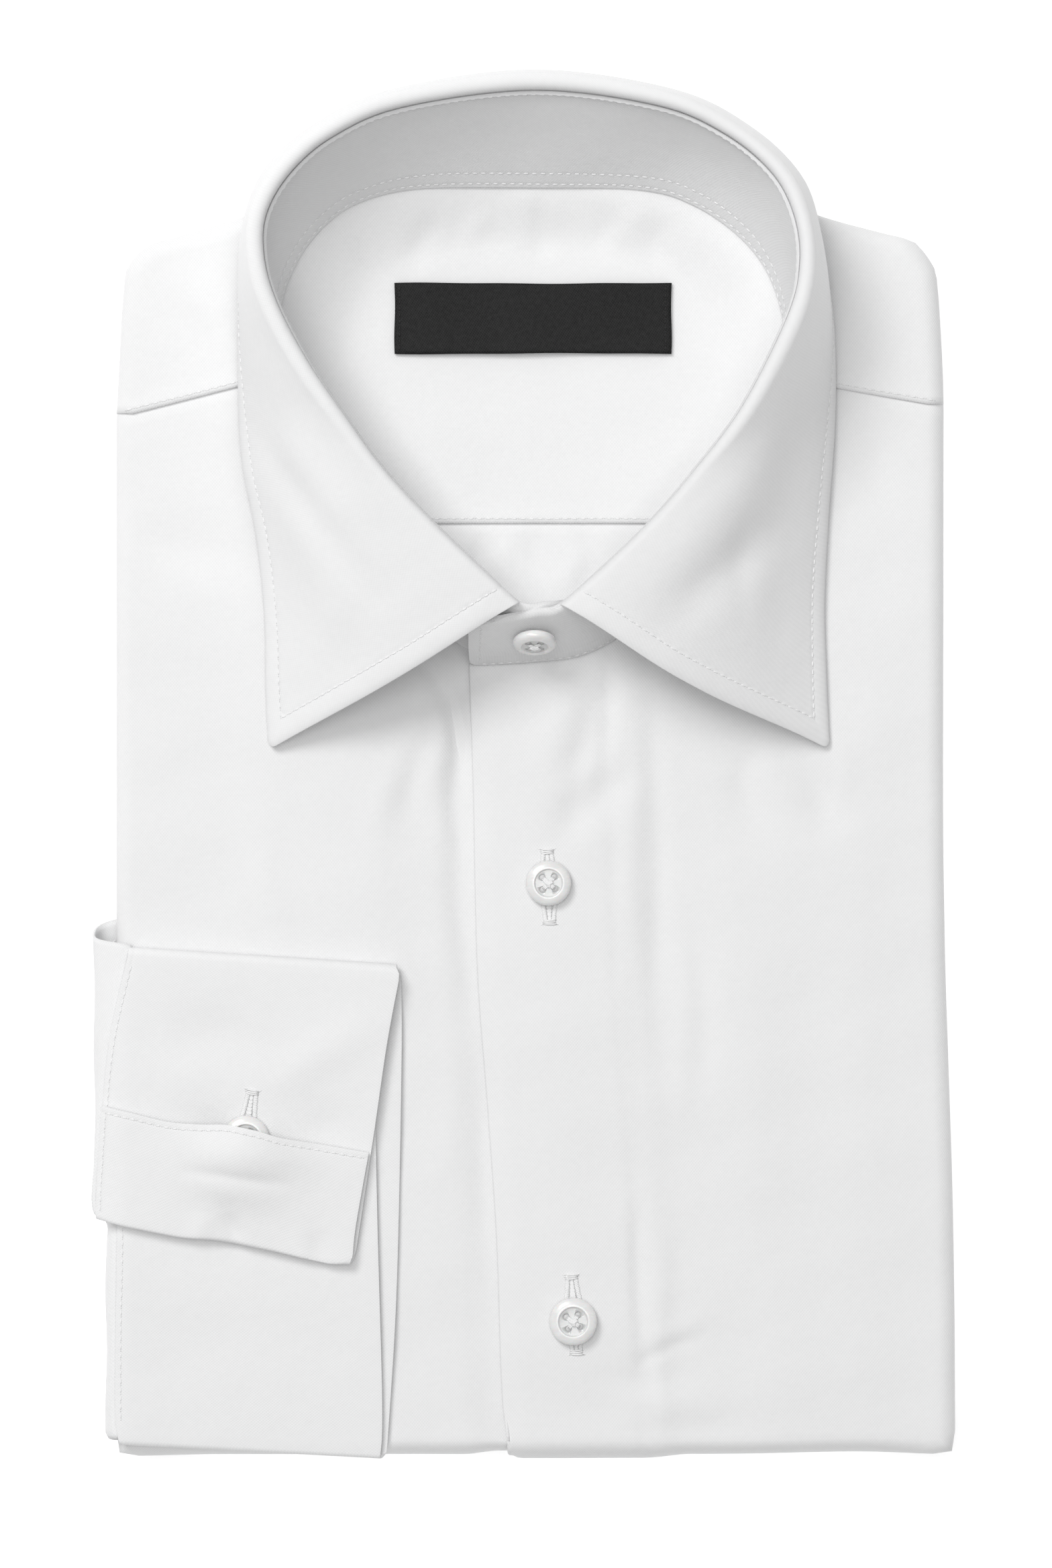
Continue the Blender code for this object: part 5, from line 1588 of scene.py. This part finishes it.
def fall_runs():
    """The edge stitching of the collar's fall: down one front edge, round the free edge and up."""
    points = fall_shape()[0]
    down, along = arc(points, 0), arc(points, 1)
    rows, columns = np.arange(points.shape[0]), np.arange(points.shape[1])
    near_edge = np.array([np.interp(down[-1, c] - FALL_SEAM, down[:, c], rows) for c in columns])
    first = np.array([np.interp(FRONT_SEAM, along[r], columns) for r in rows])
    last = np.array([np.interp(along[r, -1] - FRONT_SEAM, along[r], columns) for r in rows])
    up = (0.0, 0.0, 1.0)
    runs, corners = [], []
    for column in (first, last):
        foot = np.interp(column[-1], columns, near_edge)
        at = np.linspace(8.0, foot, 90)
        runs.append(on_grid(points, at, np.interp(at, rows, column), 0.0, up))
        corners.append(np.interp(foot, rows, column))
    round_edge = np.linspace(*corners, 700)
    return runs + [on_grid(points, np.interp(round_edge, columns, near_edge), round_edge, 0.0, up)]


def band_runs():
    """Two rows inside over the seam and one under the top, and two on the end that shows."""
    points = band_shape()[0]
    rise = arc(points, 0)
    rows, columns = np.arange(points.shape[0]), np.arange(points.shape[1])

    def level(column, height):
        return np.interp(height, rise[:, column], rows)

    inner = np.arange(10, 225)
    runs = []
    for height in (1.3, 5.0):
        runs.append(on_grid(points, np.array([level(c, height) for c in inner]), inner))
    runs.append(on_grid(points, np.array([level(c, rise[-1, c] - 1.1) for c in inner]), inner))
    along = arc(points, 1)
    last = points.shape[1] - 1
    outer = np.arange(*np.interp((330.0, along[0, -1] - 1.9), along[0], columns), 0.5)
    spots, normals = on_grid(points, np.array([level(int(c), 1.1) for c in outer]), outer)
    runs.append((spots - normals * 1.2, -normals))
    at = outer[-1]
    upright = np.linspace(level(last, 2.0), level(last, rise[-1, last] - 2.2), 20)
    spots, normals = on_grid(points, upright, np.full(len(upright), at))
    runs.append((spots - normals * 1.2, -normals))
    return runs


def yoke_runs():
    """Edge stitching on the yoke along its two front seams and its back seam."""
    def beside(seam):
        (x0, y0), (x1, y1) = seam
        run = np.array((x1 - x0, y1 - y0)) / math.hypot(x1 - x0, y1 - y0)
        off = np.array((-run[1], run[0]))
        off *= np.sign(off[1])
        spots = [np.array((x0, y0)) + off * 1.1 - run * 3.0, np.array((x1, y1)) + off * 1.1 + run * 1.5]
        return [tuple(blend(spots[0], spots[1], share)) for share in np.linspace(0, 1, 6)]

    across = [(x, BACK_SEAM_Y + 1.1) for x in np.linspace(*YOKE_WIDTH, 8)]
    paths = (beside(YOKE_SEAM_LEFT), beside(YOKE_SEAM_RIGHT), across)
    return [pressed_run(path, yoke_height) for path in paths]


def cuff_runs():
    """Edge stitching on the cuff: down its seamed left edge and along the band's free end."""
    columns, run_steps, turn_steps = CUFF_GRID
    points = cuff_face(*CUFF_GRID)
    across, length = arc(points, 1), arc(points, 0)
    rows, places = np.arange(points.shape[0]), np.arange(points.shape[1])
    per_run = run_steps + turn_steps
    up = (0.0, 0.0, 1.0)
    runs = []
    for first, last in ((8, run_steps - 2), (2 * per_run + 1, 2 * per_run + run_steps - 1),
                        (3 * per_run + 1, 3 * per_run + run_steps - 1)):
        at = np.arange(first, last)
        column = np.array([np.interp(CUFF_SEAM, across[r], places) for r in at])
        runs.append(on_grid(points, at, column, 0.48, up))
    rim = np.arange(1, columns)
    at = np.array([np.interp(length[-1, c] - RIM_SEAM, length[:, c], rows) for c in rim])
    runs.append(on_grid(points, at, rim, 0.48, up))
    return runs


def label_runs():
    """The label is sewn down at its two ends."""
    end = np.linspace(LABEL_Y[0] + 0.6, LABEL_Y[1] - 0.6, 5)
    return [pressed_run([(x, y) for y in end], label_height, 0.02)
            for x in (LABEL_X[0] + 1.2, LABEL_X[1] - 1.5)]


def camera():
    """Straight down over the shirt, as far off as gives the photograph's near and far sizes."""
    data = bpy.data.cameras.new("camera")
    data.sensor_width, data.lens = SENSOR, SENSOR * VIEW_DOWN / VIEW_LONG
    data.clip_start, data.clip_end = 0.1, 20.0
    made = bpy.data.objects.new("camera", data)
    bpy.context.scene.collection.objects.link(made)
    x, y, z = CAMERA_AT
    made.location = Vector((x - CENTRE[0], y - CENTRE[1], z)) * MM
    bpy.context.scene.camera = made


def lamp(name, spot, size, power):
    """A square lamp that faces the shirt."""
    data = bpy.data.lights.new(name, "AREA")
    data.shape, data.size, data.energy = "SQUARE", size, power
    made = bpy.data.objects.new(name, data)
    bpy.context.scene.collection.objects.link(made)
    made.location = spot
    made.rotation_mode = "QUATERNION"
    made.rotation_quaternion = (-Vector(spot)).to_track_quat("-Z", "Y")


def studio():
    """A white table, a soft lamp beyond the collar, a large one overhead and pale surroundings."""
    bm = bmesh.new()
    bmesh.ops.create_grid(bm, x_segments=1, y_segments=1, size=TABLE_HALF)
    bmesh.ops.translate(bm, verts=bm.verts[:], vec=(0.0, 0.0, -TABLE_CLEAR))
    table = Look("table white", TABLE_WHITE, 0.9, Emission_Color=(1.0, 1.0, 1.0),
                 Emission_Strength=TABLE_GLOW)
    add_piece("table", bm, [table.material], smooth_shaded=False)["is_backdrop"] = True
    for facts in LAMPS:
        lamp(*facts)
    world = bpy.data.worlds.new("studio")
    world.use_nodes = True
    world.node_tree.nodes["Background"].inputs["Color"].default_value = (1.0, 1.0, 1.0, 1.0)
    world.node_tree.nodes["Background"].inputs["Strength"].default_value = ROOM_LIGHT
    bpy.context.scene.world = world
    bpy.context.scene.view_settings.view_transform = "Standard"


def main():
    camera()
    studio()
    plain = shirting("shirting")
    front = shirting("shirting, placket", [(0, 0.0, 1.8, 0.14)])
    yoke = shirting("shirting, yoke", [(0, 1.1, 0.5, 0.06), (1, 1.1, 0.5, 0.06)])
    band = shirting("shirting, band", [(0, 1.3, 0.5, 0.07), (0, 5.0, 0.5, 0.06), (1, 1.1, 0.5, 0.06)])
    fall = shirting("shirting, fall", [(0, FALL_SEAM, 0.6, 0.09)], coarse=0.6)
    cuff = shirting("shirting, cuff", [(0, CUFF_SEAM, 0.5, 0.07), (1, RIM_SEAM, 0.5, 0.07)])
    satin, thread, black_thread, shade = satin_look(), thread_look(), black_thread_look(), shade_look()
    # The second pearl finish is a darker copy of the first for the sunk disc: painted shade in its recess
    finishes = (pearl_look("pearl rim", (0.74, 0.74, 0.735), (0.84, 0.84, 0.835)),
                pearl_look("pearl disc, painted shade", (0.58, 0.58, 0.575), (0.67, 0.67, 0.665)), thread, shade)

    layers = hidden_layers(plain)
    right = right_front(plain)
    left = left_front(front)
    shoulder = shoulders(yoke)
    back = back_inside(plain)
    stand = collar_band(band)
    leaf = collar_fall(fall)
    label = neck_label(satin)
    strip = sleeve_strip(plain)
    ribbon = cuff_ribbon(cuff)

    sewn, bound = (thread, shade), (thread, thread)
    fall_stitches = stitches("fall_stitches", fall_runs(), sewn)
    band_stitches = stitches("band_stitches", band_runs(), sewn)
    yoke_stitches = stitches("yoke_stitches", yoke_runs(), sewn)
    cuff_stitches = stitches("cuff_stitches", cuff_runs(), sewn)
    label_stitches = stitches("label_stitches", label_runs(), (black_thread, black_thread),
                              pitch=1.6, length=1.1)

    buttons, holes = [], []
    for (name, x, y, size, turned), (low, high) in zip(FLAT_BUTTONS, FRONT_HOLES):
        place = Matrix.Translation(Vector((x, y, float(front_left_height(x, y)) + 2 * GAP)) * MM)
        buttons += shirt_button(name.replace("front", "pearl"), name, size, place, finishes, turned)
        holes.append(buttonhole(name.replace("button", "hole"), low, high, front_left_height, bound))
    x, y = CUFF_BUTTON
    place = Matrix.Translation(Vector((x, y, float(flap_height(x, y)) + GAP)) * MM)
    cuff_hole = buttonhole("cuff_hole", *CUFF_HOLE, flap_height, bound, open_at=0.0)
    buttons += shirt_button("cuff_pearl", "cuff_button", CUFF_BUTTON_SIZE, place, finishes,
                            CUFF_BUTTON_TURN)
    buttons += shirt_button("collar_pearl", "collar_button", COLLAR_BUTTON_SIZE, collar_button_place(),
                            finishes)

    low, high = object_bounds()


main()
